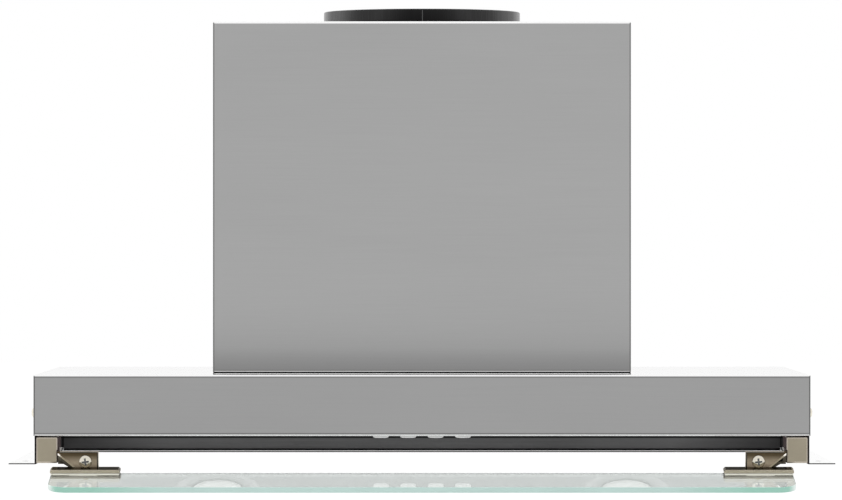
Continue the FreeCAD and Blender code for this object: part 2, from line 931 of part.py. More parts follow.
def filter_latches():
    """Spring latches in the filters' front rims; each tongue bears on the lamp panel's rear edge."""
    for side, name in SIDES:
        middle = signed(side, "filter_middle")
        slider = box(
            f"{name}_latch_slider",
            ("latch_width", "latch_depth", "latch_height - fit_gap"),
            (f"{middle} - latch_width / 2", "latch_front", "filter_bottom"),
        )
        grip = box(
            f"{name}_latch_hollow",
            ("latch_width - 2 * latch_grip", "latch_depth - latch_grip", "latch_height / 2"),
            (
                f"{middle} - latch_width / 2 + latch_grip",
                "latch_front + latch_grip / 2",
                "filter_bottom - fit_gap",
            ),
        )
        tongue = box(
            f"{name}_latch_tongue",
            ("tongue_width", "latch_tongue", "tongue_height"),
            (f"{middle} - tongue_width / 2", "latch_front - latch_tongue", "tongue_z"),
        )
        node(f"{name}_filter_latch", fuse(f"{name}_latch", cut(f"{name}_latch_pull", slider, grip), tongue))


def rectangle(x_low, y_low, x_high, y_high):
    """A closed rectangular wire on the ground plane."""
    corners = [(x_low, y_low), (x_high, y_low), (x_high, y_high), (x_low, y_high), (x_low, y_low)]
    return Part.makePolygon([FreeCAD.Vector(x, y, 0) for x, y in corners])


def filter_meshes():
    """Filter mesh panels: one plate with rows of openings, resting on the frame's lip."""
    low = value("filter_inner + filter_rim + fit_gap")
    high = value("filter_outer - filter_rim - fit_gap")
    front = value("filter_front + filter_front_rim + fit_gap")
    rear = value("filter_rear - filter_rim - fit_gap")
    columns = round(value("mesh_columns"))
    rows = round(value("mesh_rows"))
    bar = value("mesh_bar")
    step_x = (high - low - bar) / columns
    step_y = (rear - front - bar) / rows
    openings = [
        rectangle(
            low + bar + column * step_x,
            front + bar + line * step_y,
            low + (column + 1) * step_x,
            front + (line + 1) * step_y,
        )
        for column in range(columns)
        for line in range(rows)
    ]
    face = Part.makeFace([rectangle(low, front, high, rear), *openings], "Part::FaceMakerBullseye")
    right = doc.addObject("Part::Feature", "right_mesh")
    right.Shape = face.extrude(FreeCAD.Vector(0, 0, value("filter_mesh_height")))
    place(right, ("0", "0", "filter_bottom + filter_lip"))
    node("right_filter_mesh", right)
    node("left_filter_mesh", mirrored("left_mesh", right))


def filter_supports():
    """Rear blocks on the back wall with a half-round seat for the filters' rolled hems."""
    blocks = []
    height = "filter_roll / 2 + support_depth"
    inner_edges = ("filter_inner + support_inset", "filter_outer - support_inset - support_width")
    for side, name in SIDES:
        for n, inner in enumerate(inner_edges):
            low = inner if side > 0 else f"-({inner}) - support_width"
            block = box(
                f"{name}_support_{n}",
                ("support_width", "back - sheet - filter_pivot_y + fit_gap", height),
                (low, "filter_pivot_y - fit_gap", f"filter_pivot_z - ({height})"),
            )
            seat = rod(
                f"{name}_support_seat_{n}",
                "filter_roll + fit_gap",
                "support_width + 2 * fit_gap",
                (f"{low} - fit_gap", "filter_pivot_y", "filter_pivot_z"),
                "X",
            )
            blocks.append(cut(f"{name}_support_cut_{n}", block, seat))
    node("filter_supports", group("filter_support_group", *blocks))


# Motor box


def box_side_holes(name):
    """Clearance holes for the screws near the rear edges of the motor box's sides."""
    return [
        rod(
            f"{name}_hole_{n}",
            "screw_hole",
            "box_width + 2 * sheet",
            ("-box_width / 2 - sheet", "box_screw_y", z),
            "X",
        )
        for n, z in enumerate(BOX_SCREW_ROWS)
    ]


def motor_box_wrap():
    """Front and sides folded from one sheet, with a shadow gap under the front and feet turned in."""
    blank = box(
        "wrap_blank",
        ("box_width", "box_depth", "box_height - sheet"),
        ("-box_width / 2", "box_front", "canopy_height"),
    )
    hollow = box(
        "wrap_hollow",
        ("2 * box_inner", "box_depth", "box_height + sheet"),
        ("-box_inner", "box_front + sheet", "canopy_height - sheet"),
    )
    gap = box(
        "wrap_gap",
        ("2 * box_inner", "3 * sheet", "2 * box_shadow_gap"),
        ("-box_inner", "box_front - sheet", "canopy_height - box_shadow_gap"),
    )
    feet = [
        box(
            f"wrap_foot_{name}",
            ("box_flange", "box_depth - 3 * sheet", "sheet"),
            (
                "box_inner - box_flange" if side > 0 else "-box_inner",
                "box_front + 2 * sheet",
                "canopy_height",
            ),
        )
        for side, name in SIDES
    ]
    folded = fuse("wrap_folded", cut("wrap_sheet", blank, hollow, gap), *feet)
    node("motor_box_wrap", cut("wrap", folded, *box_side_holes("wrap")))


def motor_box_back():
    """The rear cover, with flanges turned forwards inside the wrap's sides."""
    cover = box(
        "rear_sheet",
        ("2 * box_inner", "sheet", "box_height - sheet"),
        ("-box_inner", "box_back - sheet", "canopy_height"),
    )
    flanges = [
        box(
            f"rear_flange_{name}",
            ("sheet", "box_flange", "box_height - 3 * sheet"),
            (
                "box_inner - sheet" if side > 0 else "-box_inner",
                "box_back - box_flange",
                "canopy_height + 2 * sheet",
            ),
        )
        for side, name in SIDES
    ]
    node("motor_box_back", cut("rear_cover", fuse("rear_folded", cover, *flanges), *box_side_holes("rear")))


def motor_box_top():
    """The top plate, holed for the duct collar, with a window under the gland's plate."""
    plate = box(
        "top_sheet",
        ("box_width", "box_depth", "sheet"),
        ("-box_width / 2", "box_front", "box_top - sheet"),
    )
    low = "box_top - 2 * sheet"
    collar_hole = rod("top_collar_hole", "2 * (collar_neck + fit_gap)", "3 * sheet", ("0", "box_mid", low))
    window = box(
        "top_window",
        ("gland_window", "gland_window", "3 * sheet"),
        ("gland_x - gland_window / 2", "gland_y - gland_window / 2", low),
    )
    node("motor_box_top", cut("top_plate", plate, collar_hole, window))


def motor_box_screws():
    """Screws through the wrap's sides into the rear cover's flanges."""
    screws = [
        pan_screw(f"{name}_box_screw_{n}", (signed(side, "box_width / 2"), "box_screw_y", z), inwards(side))
        for side, name in SIDES
        for n, z in enumerate(BOX_SCREW_ROWS)
    ]
    node("motor_box_screws", group("box_screw_group", *screws))


def mains_gland():
    """The plate over the top's window, and a snap-in gland in it for the supply lead."""
    plate = box(
        "gland_sheet",
        ("gland_plate", "gland_plate", "sheet"),
        ("gland_x - gland_plate / 2", "gland_y - gland_plate / 2", "box_top"),
    )
    bore = "gland_diameter + 2 * running_gap"
    hole = rod("gland_hole", bore, "3 * sheet", ("gland_x", "gland_y", "box_top - sheet"))
    node("gland_plate", cut("gland_plate_holed", plate, hole))
    gland = turned_body(
        "gland",
        [
            ("cable_hole / 2", "-sheet - gland_height"),
            ("gland_diameter / 2", "-sheet - gland_height"),
            ("gland_diameter / 2", "0"),
            ("gland_diameter / 2 + gland_rim", "0"),
            ("gland_diameter / 2 + gland_rim", "gland_height / 2"),
            ("gland_diameter / 2", "gland_height"),
            ("cable_hole / 2", "gland_height"),
        ],
    )
    node("mains_gland", place(gland, ("gland_x", "gland_y", "box_top + sheet")))


# Duct collar and non-return flaps


def duct_collar():
    """The round outlet collar, with a ledge that the flaps close on, and the flange that holds it up."""
    outer = "collar_diameter / 2"
    step = "collar_flange_height + sheet"
    ring = turned_body(
        "collar_ring",
        [
            ("collar_inner - flap_ledge", "0"),
            ("collar_neck", "0"),
            ("collar_neck", step),
            (outer, step),
            (outer, f"{step} + collar_height"),
            ("collar_inner", f"{step} + collar_height"),
            ("collar_inner", f"{step} + flap_rise"),
            ("collar_inner - flap_ledge", f"{step} + flap_rise"),
        ],
    )
    place(ring, ("0", "box_mid", "collar_base"))
    pin_holes = rod(
        "collar_pin_holes",
        "flap_pin + 2 * running_gap",
        "2 * (flap_pin_half + fit_gap)",
        ("-flap_pin_half - fit_gap", "box_mid", "flap_pin_z"),
        "X",
    )
    node("duct_collar", cut("collar", ring, pin_holes))
    flange = turned_body(
        "flange_ring",
        ring_outline(
            "collar_neck + running_gap",
            "collar_diameter / 2 + collar_flange",
            "0",
            "collar_flange_height",
        ),
    )
    node("collar_flange", place(flange, ("0", "box_mid", "collar_base")))
    start = ("-flap_pin_half", "box_mid", "flap_pin_z")
    node("flap_pin", rod("flap_rod", "flap_pin", "2 * flap_pin_half", start, "X"))


def damper_flaps():
    """Two half-round flaps whose knuckles alternate on one pin across the collar."""
    starts = [
        f"{n} * (knuckle_length + knuckle_gap) - 2 * knuckle_length - 1.5 * knuckle_gap" for n in range(4)
    ]
    low = "flap_bottom - fit_gap"
    for side, name, own in ((-1, "front", (0, 2)), (1, "rear", (1, 3))):
        disc = rod(f"{name}_flap_disc", "2 * flap_radius", "flap_thickness", ("0", "box_mid", "flap_bottom"))
        half = box(
            f"{name}_flap_half",
            ("2 * collar_inner", "collar_inner", "flap_thickness + 2 * fit_gap"),
            ("-collar_inner", "box_mid - collar_inner - fit_gap" if side < 0 else "box_mid + fit_gap", low),
        )
        leaf = doc.addObject("Part::Common", f"{name}_flap_leaf")
        leaf.Base = disc
        leaf.Tool = half
        notches = [
            box(
                f"{name}_flap_notch_{n}",
                (
                    "knuckle_length + 2 * knuckle_gap",
                    "flap_knuckle + 2 * knuckle_gap",
                    "flap_thickness + 2 * fit_gap",
                ),
                (f"{starts[n]} - knuckle_gap", "box_mid - flap_knuckle / 2 - knuckle_gap", low),
            )
            for n in range(4)
            if n not in own
        ]
        knuckles = [
            rod(
                f"{name}_knuckle_{n}",
                "flap_knuckle",
                "knuckle_length",
                (starts[n], "box_mid", "flap_pin_z"),
                "X",
            )
            for n in own
        ]
        bore = rod(
            f"{name}_flap_bore",
            "flap_pin + 2 * running_gap",
            "2 * flap_radius",
            ("-flap_radius", "box_mid", "flap_pin_z"),
            "X",
        )
        body = fuse(f"{name}_flap_fused", cut(f"{name}_flap_notched", leaf, *notches), *knuckles)
        node(f"{name}_damper_flap", cut(f"{name}_flap", body, bore))


# Blower


def scroll_face(inset, top):
    """The scroll's outline square to its axis, drawn in by an inset, with the axis at the origin."""
    radius = value("scroll_radius") - inset
    shift = value("scroll_shift")
    closing_shift = value("scroll_closing_shift")
    angle = math.radians(value("scroll_cut_off"))
    closing_radius = radius - shift - closing_shift

    def on_closing(turned):
        across = closing_shift + closing_radius * math.cos(turned)
        return FreeCAD.Vector(0, across, closing_radius * math.sin(turned))

    front = FreeCAD.Vector(0, -radius - shift, 0)
    rear = FreeCAD.Vector(0, radius - shift, 0)
    tongue = on_closing(angle)
    below = Part.Arc(rear, FreeCAD.Vector(0, -shift, -radius), front)
    closing = Part.Arc(tongue, on_closing(angle / 2), rear)
    corners = [front, FreeCAD.Vector(0, front.y, top), FreeCAD.Vector(0, tongue.y, top), tongue]
    neck = [Part.LineSegment(start, end) for start, end in zip(corners, corners[1:])]
    return Part.Face(Part.Wire([edge.toShape() for edge in (below, *neck, closing)]))


def spider_spot(angle, radius):
    """Where a point on a circle round the blower's axis lies, as two expressions."""
    return (
        f"blower_y - ({radius}) * {math.sin(angle):.6f}",
        f"blower_z + ({radius}) * {math.cos(angle):.6f}",
    )


def scroll_halves():
    """The blower's scroll in two moulded halves that meet at the middle plane, each with a round inlet."""
    half_width = value("scroll_width") / 2
    wall = value("scroll_wall")
    top = value("scroll_top")
    along = FreeCAD.Vector(1, 0, 0)
    shell = scroll_face(0, top).extrude(along * half_width)
    hollow = scroll_face(wall, top + wall).extrude(along * (half_width - wall))
    inlet = Part.makeCylinder(value("inlet_hole") / 2, 3 * wall, along * (half_width - 2 * wall), along)
    half = shell.cut(hollow).cut(inlet)
    bolt_holes = [
        Part.makeCylinder(
            value("small_shank / 2 + fit_gap"),
            3 * wall,
            FreeCAD.Vector(
                half_width - 2 * wall,
                -value("spider_radius") * math.sin(angle),
                value("spider_radius") * math.cos(angle),
            ),
            along,
        )
        for angle in SPIDER_ANGLES
    ]
    drilled = half.cut(bolt_holes)
    for name, shape in (("right", drilled), ("left", drilled.mirror(FreeCAD.Vector(), along))):
        item = doc.addObject("Part::Feature", f"{name}_scroll")
        item.Shape = shape
        place(item, ("0", "blower_y", "blower_z"))
        node(f"{name}_scroll_half", item)


def impeller():
    """The double-inlet wheel: a middle disc and hub, leaning blades and two end rings."""
    body = doc.addObject("PartDesign::Body", "wheel")
    half_disc = "wheel_disc / 2"
    blade_tip = "wheel_radius - wheel_ring / 2"
    disc_section = [
        (f"-{half_disc}", "shaft_bore"),
        (f"hub_length - {half_disc}", "shaft_bore"),
        (f"hub_length - {half_disc}", "hub_diameter / 2"),
        (half_disc, "hub_diameter / 2"),
        (half_disc, blade_tip),
        (f"-{half_disc}", blade_tip),
    ]
    web_sketch = outline_sketch(body, "XY_Plane", "wheel_web_section", [disc_section])
    revolve(body, "wheel_web", web_sketch, "H_Axis")
    blade_outline = [
        ("-blade_thickness / 2", "wheel_radius - blade_height"),
        ("blade_thickness / 2", "wheel_radius - blade_height"),
        ("blade_lean + blade_thickness / 2", blade_tip),
        ("blade_lean - blade_thickness / 2", blade_tip),
    ]
    blade = body.newObject("PartDesign::Pad", "blade")
    blade.Profile = outline_sketch(body, "YZ_Plane", "blade_outline", [blade_outline])
    blade.Midplane = True
    bind(blade, Length="wheel_width - wheel_ring")
    doc.recompute()
    blades = body.newObject("PartDesign::PolarPattern", "blades")
    blades.Originals = [blade]
    blades.Axis = (next(f for f in body.Origin.OriginFeatures if f.Role == "X_Axis"), [""])
    blades.Angle = 360
    bind(blades, Occurrences="blade_count")
    body.Tip = blades
    doc.recompute()
    rings = [
        [
            (f"{side} * (wheel_width / 2 - wheel_ring)", "wheel_radius - wheel_ring"),
            (f"{side} * wheel_width / 2", "wheel_radius - wheel_ring"),
            (f"{side} * wheel_width / 2", "wheel_radius"),
            (f"{side} * (wheel_width / 2 - wheel_ring)", "wheel_radius"),
        ]
        for side, name in SIDES
    ]
    revolve(body, "wheel_rings", outline_sketch(body, "XY_Plane", "wheel_ring_sections", rings), "H_Axis")
    node("impeller", place(body, ("0", "blower_y", "blower_z")))


def on_axis(body):
    """Lay a turned piece along the blower's axis, with its height measured from the motor's left end."""
    turn(body, *TURNS["X"])
    return place(body, ("motor_left", "blower_y", "blower_z"))


def motor():
    """A shaded-pole motor: two bells round a stator, ball bearings, a rotor and its shaft."""
    outer = "motor_diameter / 2"
    inner = "motor_diameter / 2 - motor_wall"
    seat = "bearing_diameter / 2"
    stack_end = "bell_length + stator_length"
    left_bell = [
        (seat, "0"),
        (outer, "0"),
        (outer, "bell_length"),
        (inner, "bell_length"),
        (inner, "bearing_length"),
        (seat, "bearing_length"),
    ]
    right_bell = [(radius, f"motor_length - ({height})") for radius, height in left_bell]
    rotor = ring_outline(
        "shaft_bore",
        "stator_bore / 2 - air_gap",
        "bell_length - rotor_overhang",
        f"{stack_end} + rotor_overhang",
    )
    node("motor_left_bell", on_axis(turned_body("left_bell", left_bell)))
    node("motor_right_bell", on_axis(turned_body("right_bell", right_bell)))
    stack = ring_outline("stator_bore / 2", outer, "bell_length", stack_end)
    node("motor_stator", on_axis(turned_body("stator", stack)))
    node("motor_rotor", on_axis(turned_body("rotor", rotor)))
    race_inner = "shaft_diameter / 2 + running_gap"
    race_outer = "bearing_diameter / 2 - running_gap"
    races = [
        ring_outline(race_inner, race_outer, low, f"{low} + bearing_length")
        for low in ("0", "motor_length - bearing_length")
    ]
    bearings = [on_axis(turned_body(f"bearing_{n}", race)) for n, race in enumerate(races)]
    node("motor_bearings", group("motor_bearing_pair", *bearings))
    shaft = rod(
        "shaft",
        "shaft_diameter",
        "hub_length - wheel_disc / 2 - motor_left",
        ("motor_left", "blower_y", "blower_z"),
        "X",
    )
    node("motor_shaft", shaft)


def motor_spider():
    """The three-armed bracket that carries the motor in the scroll's left inlet, and its screws."""
    start = "motor_left - spider_plate"
    hub = rod("spider_hub_plate", "spider_hub", "spider_plate", (start, "blower_y", "blower_z"), "X")
    shaft_hole = rod(
        "spider_shaft_hole",
        "bearing_diameter",
        "spider_plate + 2 * fit_gap",
        (f"{start} - fit_gap", "blower_y", "blower_z"),
        "X",
    )
    arms, holes, screws = [], [], []
    for n, angle in enumerate(SPIDER_ANGLES):
        arm = box(
            f"spider_arm_{n}",
            ("spider_plate", "spider_arm", "spider_radius + spider_arm / 2"),
            (
                start,
                f"blower_y - spider_arm / 2 * {math.cos(angle):.6f}",
                f"blower_z - spider_arm / 2 * {math.sin(angle):.6f}",
            ),
        )
        arm.Placement.Rotation = FreeCAD.Rotation(FreeCAD.Vector(1, 0, 0), math.degrees(angle))
        arms.append(arm)
        spot = spider_spot(angle, "spider_radius")
        holes.append(
            rod(
                f"spider_hole_{n}",
                "small_shank + 2 * fit_gap",
                "spider_plate + 2 * fit_gap",
                (f"{start} - fit_gap", *spot),
                "X",
            )
        )
        screws.append(
            screw(
                f"spider_screw_{n}",
                "screw_head",
                "screw_head_height",
                "small_shank",
                "spider_plate + scroll_wall",
                (start, *spot),
                "X",
            )
        )
    node("motor_spider", cut("spider", fuse("spider_fused", hub, *arms), shaft_hole, *holes))
    node("spider_screws", group("spider_screw_group", *screws))


# Electrical parts in the motor box


def capacitor():
    """The motor's run capacitor, standing on the wrap's right foot."""
    can = turned_body(
        "capacitor_can",
        [
            ("0", "0"),
            ("capacitor_diameter / 2", "0"),
            ("capacitor_diameter / 2", "capacitor_height"),
            ("0", "capacitor_height"),
        ],
    )
    spot = (
        "box_inner - capacitor_diameter / 2 - fit_gap",
        "box_mid + capacitor_offset",
        "canopy_height + sheet",
    )
    node("capacitor", place(can, spot))


def terminal_box():
    """The terminal box on the left wall of the motor box, and its lid."""
    size = ("terminal_width", "terminal_depth", "terminal_height")
    case = box("terminal_case", size, ("-box_inner", "terminal_y", "terminal_z"))
    room = box(
        "terminal_room",
        ("terminal_width", "terminal_depth - 2 * terminal_wall", "terminal_height - 2 * terminal_wall"),
        ("terminal_wall - box_inner", "terminal_y + terminal_wall", "terminal_z + terminal_wall"),
    )
    lid = box(
        "terminal_lid",
        ("terminal_wall", "terminal_depth", "terminal_height"),
        ("terminal_width - box_inner", "terminal_y", "terminal_z"),
    )
    node("terminal_box", cut("terminal_shell", case, room))
    node("terminal_box_lid", lid)


BUILDERS = (
    canopy_cover,
    side_walls,
    back_wall,
    cover_screws,
    lamp_panel,
    lamps,
    buttons,
    switch_unit,
    hinge_blocks,
    visor_arms,
    hinge_pins,
    clamp_jaws,
    clamp_pads,
    visor_screws,
    visor_glass,
    filter_frames,
    filter_latches,
    filter_meshes,
    filter_supports,
    motor_box_wrap,
    motor_box_back,
    motor_box_top,
    motor_box_screws,
    mains_gland,
    duct_collar,
    damper_flaps,
    scroll_halves,
    impeller,
    motor,
    motor_spider,
    capacitor,
    terminal_box,
)

for build in BUILDERS:
    build()
doc.recompute()

failed = [item.Name for item in doc.Objects if {"Invalid", "Error"} & set(item.State)]
if failed:
    raise RuntimeError(f"objects that did not build: {failed}")
for label, item in NODES.items():
    if item.Shape.isNull() or not item.Shape.isValid() or not item.Shape.Solids:
        raise RuntimeError(f"{label} has no valid solid")

os.makedirs("parts", exist_ok=True)
for label, item in NODES.items():
    item.Shape.exportStep(f"parts/{label}.step")
    print(label, len(item.Shape.Solids), round(item.Shape.Volume))
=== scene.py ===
"""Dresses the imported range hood: finished pieces, procedural finishes, soft studio light and the camera."""

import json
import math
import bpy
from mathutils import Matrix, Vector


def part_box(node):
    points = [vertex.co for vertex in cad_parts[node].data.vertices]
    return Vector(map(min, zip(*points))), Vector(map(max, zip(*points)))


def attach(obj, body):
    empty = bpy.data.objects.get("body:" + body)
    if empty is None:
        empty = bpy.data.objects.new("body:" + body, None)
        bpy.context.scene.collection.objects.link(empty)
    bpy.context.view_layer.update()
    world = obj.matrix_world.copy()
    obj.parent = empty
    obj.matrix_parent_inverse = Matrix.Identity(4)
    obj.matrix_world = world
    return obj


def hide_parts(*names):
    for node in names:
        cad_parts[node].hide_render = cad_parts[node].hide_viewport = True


bl_info = {
    "name": "Built-in range hood",
    "version": (1, 0, 0),
    "blender": (4, 5, 0),
    "location": "View3D > Sidebar > Range hood",
    "description": "Builds the finished pieces of a built-in range hood round its packed frame",
    "category": "Object",
}

import bmesh
import bpy
from bpy.props import FloatProperty, FloatVectorProperty, IntProperty, PointerProperty
from mathutils import Matrix, Vector

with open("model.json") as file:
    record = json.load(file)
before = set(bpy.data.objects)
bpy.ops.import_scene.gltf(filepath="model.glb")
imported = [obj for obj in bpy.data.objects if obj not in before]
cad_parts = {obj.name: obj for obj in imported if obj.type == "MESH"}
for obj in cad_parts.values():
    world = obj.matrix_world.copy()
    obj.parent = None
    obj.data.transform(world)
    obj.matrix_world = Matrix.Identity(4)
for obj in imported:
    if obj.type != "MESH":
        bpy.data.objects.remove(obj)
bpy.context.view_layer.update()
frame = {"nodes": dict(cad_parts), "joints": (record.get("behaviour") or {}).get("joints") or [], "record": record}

MM = 0.001
SIDES = ((-1, "left"), (1, "right"))

# The visor hangs at a tilt from its axle. Its lengths below are in millimetres: sideways from the hood's middle,
# forwards (negative) and up from the axle, before the tilt.
VISOR_TILT = math.radians(9)
AXLE = Vector(next(j["pos_m"] for j in frame["joints"] if j["name"] == "visor_tilt"))
HANG = Matrix.Translation(AXLE) @ Matrix.Rotation(VISOR_TILT, 4, "X")
PLATE_INNER, PLATE_OUTER, RAIL_END = 233.6, 263.1, 261.5
PLATE_FOOT, PLATE_TOP = -8.4, 3.6
PLATE_FRONT, PLATE_BACK = -14.8, -13.1
CLAMP_INNER, CLAMP_OUTER = 217.7, 268.3
CLAMP_FRONT, CLAMP_BACK = -25.1, -8.1
JAW_TOP, JAW_SEAM, CLAMP_SPLIT, CLAMP_FOOT = -8.0, -10.5, -17.2, -19.6
STEP_HIGH, STEP_LOW = -12.1, -12.4
GLASS_TOP, GLASS_BOTTOM = STEP_LOW, -16.4
SCREW_SIDE = 243.1


# Sizes and colours that a user would change


def length(label, text, millimetres):
    """A length property, given in millimetres."""
    return FloatProperty(
        name=label, description=text, default=millimetres * MM, unit="LENGTH", subtype="DISTANCE", precision=5
    )


def tint(label, text, colour):
    """A colour property."""
    return FloatVectorProperty(
        name=label, description=text, default=colour, size=3, min=0, max=1, subtype="COLOR"
    )


class HoodSizes(bpy.types.PropertyGroup):
    """Sizes of the dressed pieces."""

    bend: length("Bend radius", "Outer radius of the folds in the canopy and the motor box", 1.05)
    sheet: length("Sheet", "Thickness of the sheet metal", 0.8)
    lip: length("Fascia lip", "Depth of the lip folded in under the fascia", 2.2)
    eased: length("Eased edge", "Width of the small rounding on cast and cut edges", 0.35)
    block_round: length("Block rounding", "Rounding of the hinge blocks", 1.2)
    glass_arris: length("Glass arris", "Polished arris along the edges of the glass", 0.5)
    mesh_cell: length("Mesh cell", "Width of one diamond of the grease filters' mesh", 12)
    mesh_strand: length("Mesh strand", "Width of a strand of the grease filters' mesh", 1.3)
    seal: length("Seal", "Radius of the black bead under the motor box", 0.62)
    arm_rim: length("Arm rim", "Width of the raised rim on the bent arms", 0.45)
    screw_segments: IntProperty(name="Screw segments", description="Facets round a screw head", default=32, min=8)


class HoodFinishes(bpy.types.PropertyGroup):
    """Colours of the finishes."""

    canopy: tint("Canopy", "Brushed steel of the canopy", (0.315, 0.315, 0.315))
    motor_box: tint("Motor box", "Brushed steel of the motor box", (0.362, 0.362, 0.362))
    nickel: tint("Nickel", "Satin nickel of hinges and clamps", (0.305, 0.272, 0.207))
    # The inner wall's dark colour is painted shade on the back wall's steel.
    inner_wall: tint("Inner wall", "Dark sheet at the back of the canopy", (0.105, 0.105, 0.106))
    collar: tint("Collar", "Black plastic of the duct collar", (0.004, 0.004, 0.0042))
    glass: tint("Glass", "Tint of the visor's glass", (0.93, 0.98, 0.96))
    glass_edge: tint("Glass edge", "Green of the polished glass edge", (0.60, 0.80, 0.75))
    keys: tint("Buttons", "White plastic of the push buttons", (0.92, 0.92, 0.91))


# Shader maths


class Wire:
    """A node's output that can be used in sums."""

    def __init__(self, sheet, socket):
        self.sheet = sheet
        self.socket = socket

    def _math(self, operation, first, second):
        return self.sheet.node("ShaderNodeMath", {"operation": operation}, {0: first, 1: second})

    def __add__(self, other):
        return self._math("ADD", self, other)

    def __sub__(self, other):
        return self._math("SUBTRACT", self, other)

    def __rsub__(self, other):
        return self._math("SUBTRACT", other, self)

    def __mul__(self, other):
        return self._math("MULTIPLY", self, other)

    def __gt__(self, other):
        return self._math("GREATER_THAN", self, other)

    __radd__ = __add__
    __rmul__ = __mul__


class Sheet:
    """A node tree that is filled by expressions."""

    def __init__(self, tree):
        self.tree = tree

    def node(self, kind, settings=None, inputs=None, output=0):
        """Add a node: its settings come first, then the values or links of its sockets."""
        made = self.tree.nodes.new(kind)
        for name, setting in (settings or {}).items():
            setattr(made, name, setting)
        for name, given in (inputs or {}).items():
            if isinstance(given, Wire):
                self.tree.links.new(given.socket, made.inputs[name])
            else:
                made.inputs[name].default_value = given
        return Wire(self, made.outputs[output]) if made.outputs else made

    def also(self, wire, output):
        """Another output of the node that a wire comes from."""
        return Wire(self, wire.socket.node.outputs[output])


class Finish(Sheet):
    """A material built from wires on Object coordinates."""

    def __init__(self, name):
        self.material = bpy.data.materials.new(name)
        self.material.use_nodes = True
        super().__init__(self.material.node_tree)
        self.tree.nodes.clear()
        self.place = self.node("ShaderNodeTexCoord", output="Object")

    def noise(self, scale, detail=2.0, roughness=0.5, stretch=(1, 1, 1)):
        """Noise round nought, with cells scale to the metre, stretched along the axes."""
        where = self.node("ShaderNodeMapping", None, {"Vector": self.place, "Scale": stretch})
        inputs = {"Vector": where, "Scale": scale, "Detail": detail, "Roughness": roughness}
        return self.node("ShaderNodeTexNoise", None, inputs) - 0.5

    def brush_marks(self, lines=900, stretch=(0.012, 1, 1)):
        """Fine and broad marks of brushing along X."""
        return self.noise(lines, 3, 0.7, stretch), self.noise(16, 2, 0.5, (0.3, 1, 1))

    def along(self, axis):
        """The place along an axis, by its number."""
        return self.node("ShaderNodeSeparateXYZ", None, {0: self.place}, output=axis)

    def outwards(self):
        """How far to either side of the middle a place is."""
        return self.node("ShaderNodeMath", {"operation": "ABSOLUTE"}, {0: self.along(0)})

    def edge_on(self):
        """How nearly edge on a place is seen, which is for gloss alone."""
        return self.node("ShaderNodeLayerWeight", None, {"Blend": 0.5}, output="Facing")

    def ramp(self, value, start, end, low=0.0, high=1.0, smooth=False):
        """A wire that goes from low to high while a value goes from start to end."""
        settings = {"interpolation_type": "SMOOTHSTEP" if smooth else "LINEAR"}
        return self.node("ShaderNodeMapRange", settings, {"Value": value, 1: start, 2: end, 3: low, 4: high})

    def shaded(self, colour, shade):
        """A colour, or a wire of one, made lighter or darker by a wire."""
        given = colour if isinstance(colour, Wire) else tuple(colour)
        return self.node("ShaderNodeVectorMath", {"operation": "SCALE"}, {0: given, "Scale": shade})

    def blended(self, factor, first, second):
        """A colour between two colours, or wires of them, by a wire."""
        ends = [colour if isinstance(colour, Wire) else (*colour, 1) for colour in (first, second)]
        settings = {"data_type": "RGBA", "clamp_factor": True}
        return self.node("ShaderNodeMix", settings, {0: factor, 6: ends[0], 7: ends[1]}, output=2)

    def relief(self, height, strength, distance=0.2 * MM):
        """A bump from a wire, for a shader's Normal."""
        return self.node("ShaderNodeBump", None, {"Height": height, "Strength": strength, "Distance": distance})

    def shader(self, **sockets):
        """Add a Principled shader. Socket names use _ for a space."""
        inputs = {name.replace("_", " "): given for name, given in sockets.items()}
        return self.node("ShaderNodeBsdfPrincipled", None, inputs)

    def mixed(self, factor, first, second):
        """A shader between two, by a wire."""
        return self.node("ShaderNodeMixShader", None, {0: factor, 1: first, 2: second})

    def ended(self, surface):
        """Add the output, and return the material."""
        self.node("ShaderNodeOutputMaterial", None, {"Surface": surface})
        return self.material

    def close(self, **sockets):
        """End with one Principled shader, and return the material."""
        return self.ended(self.shader(**sockets))


def grey(level):
    """A neutral colour."""
    return (level, level, level)


def brushed(name, colour, roughness, lines=900, streak=0.10, relief=0.05, stretch=(0.012, 1, 1)):
    """Sheet metal brushed along X."""
    finish = Finish(name)
    grain, broad = finish.brush_marks(lines, stretch)
    return finish.close(
        Base_Color=finish.shaded(colour, 1 + grain * streak + broad * streak),
        Metallic=1.0,
        Roughness=roughness + grain * 0.16 + broad * 0.06,
        Normal=finish.relief(grain, relief),
    )


def glossed_steel(name, colour, gloss, roughness, clear=(0.0, 1.0)):
    """Steel brushed along X, whose gloss takes over where it is seen almost edge on, sharpest in a place given by
    how far it reaches to each side and the Y that it starts at."""
    finish = Finish(name)
    grain, broad = finish.brush_marks()
    shade = 1 + grain * 0.08 + broad * 0.06
    satin = finish.shader(
        Base_Color=finish.shaded(colour, shade),
        Metallic=1.0,
        Roughness=roughness + grain * 0.16,
        Normal=finish.relief(grain, 0.04),
    )
    reach, start = clear
    inside = finish.ramp(finish.outwards(), reach - 2 * MM, reach + 2 * MM, 1.0, 0.0)
    behind = finish.ramp(finish.along(1), start - 15 * MM, start)
    shine = finish.shader(
        Base_Color=finish.shaded(gloss, shade),
        Metallic=1.0,
        Roughness=0.09 - inside * behind * 0.06 + grain * 0.04,
    )
    slip = finish.ramp(finish.edge_on(), 0.72, 0.94, smooth=True)
    return finish.ended(finish.mixed(slip, satin, shine))


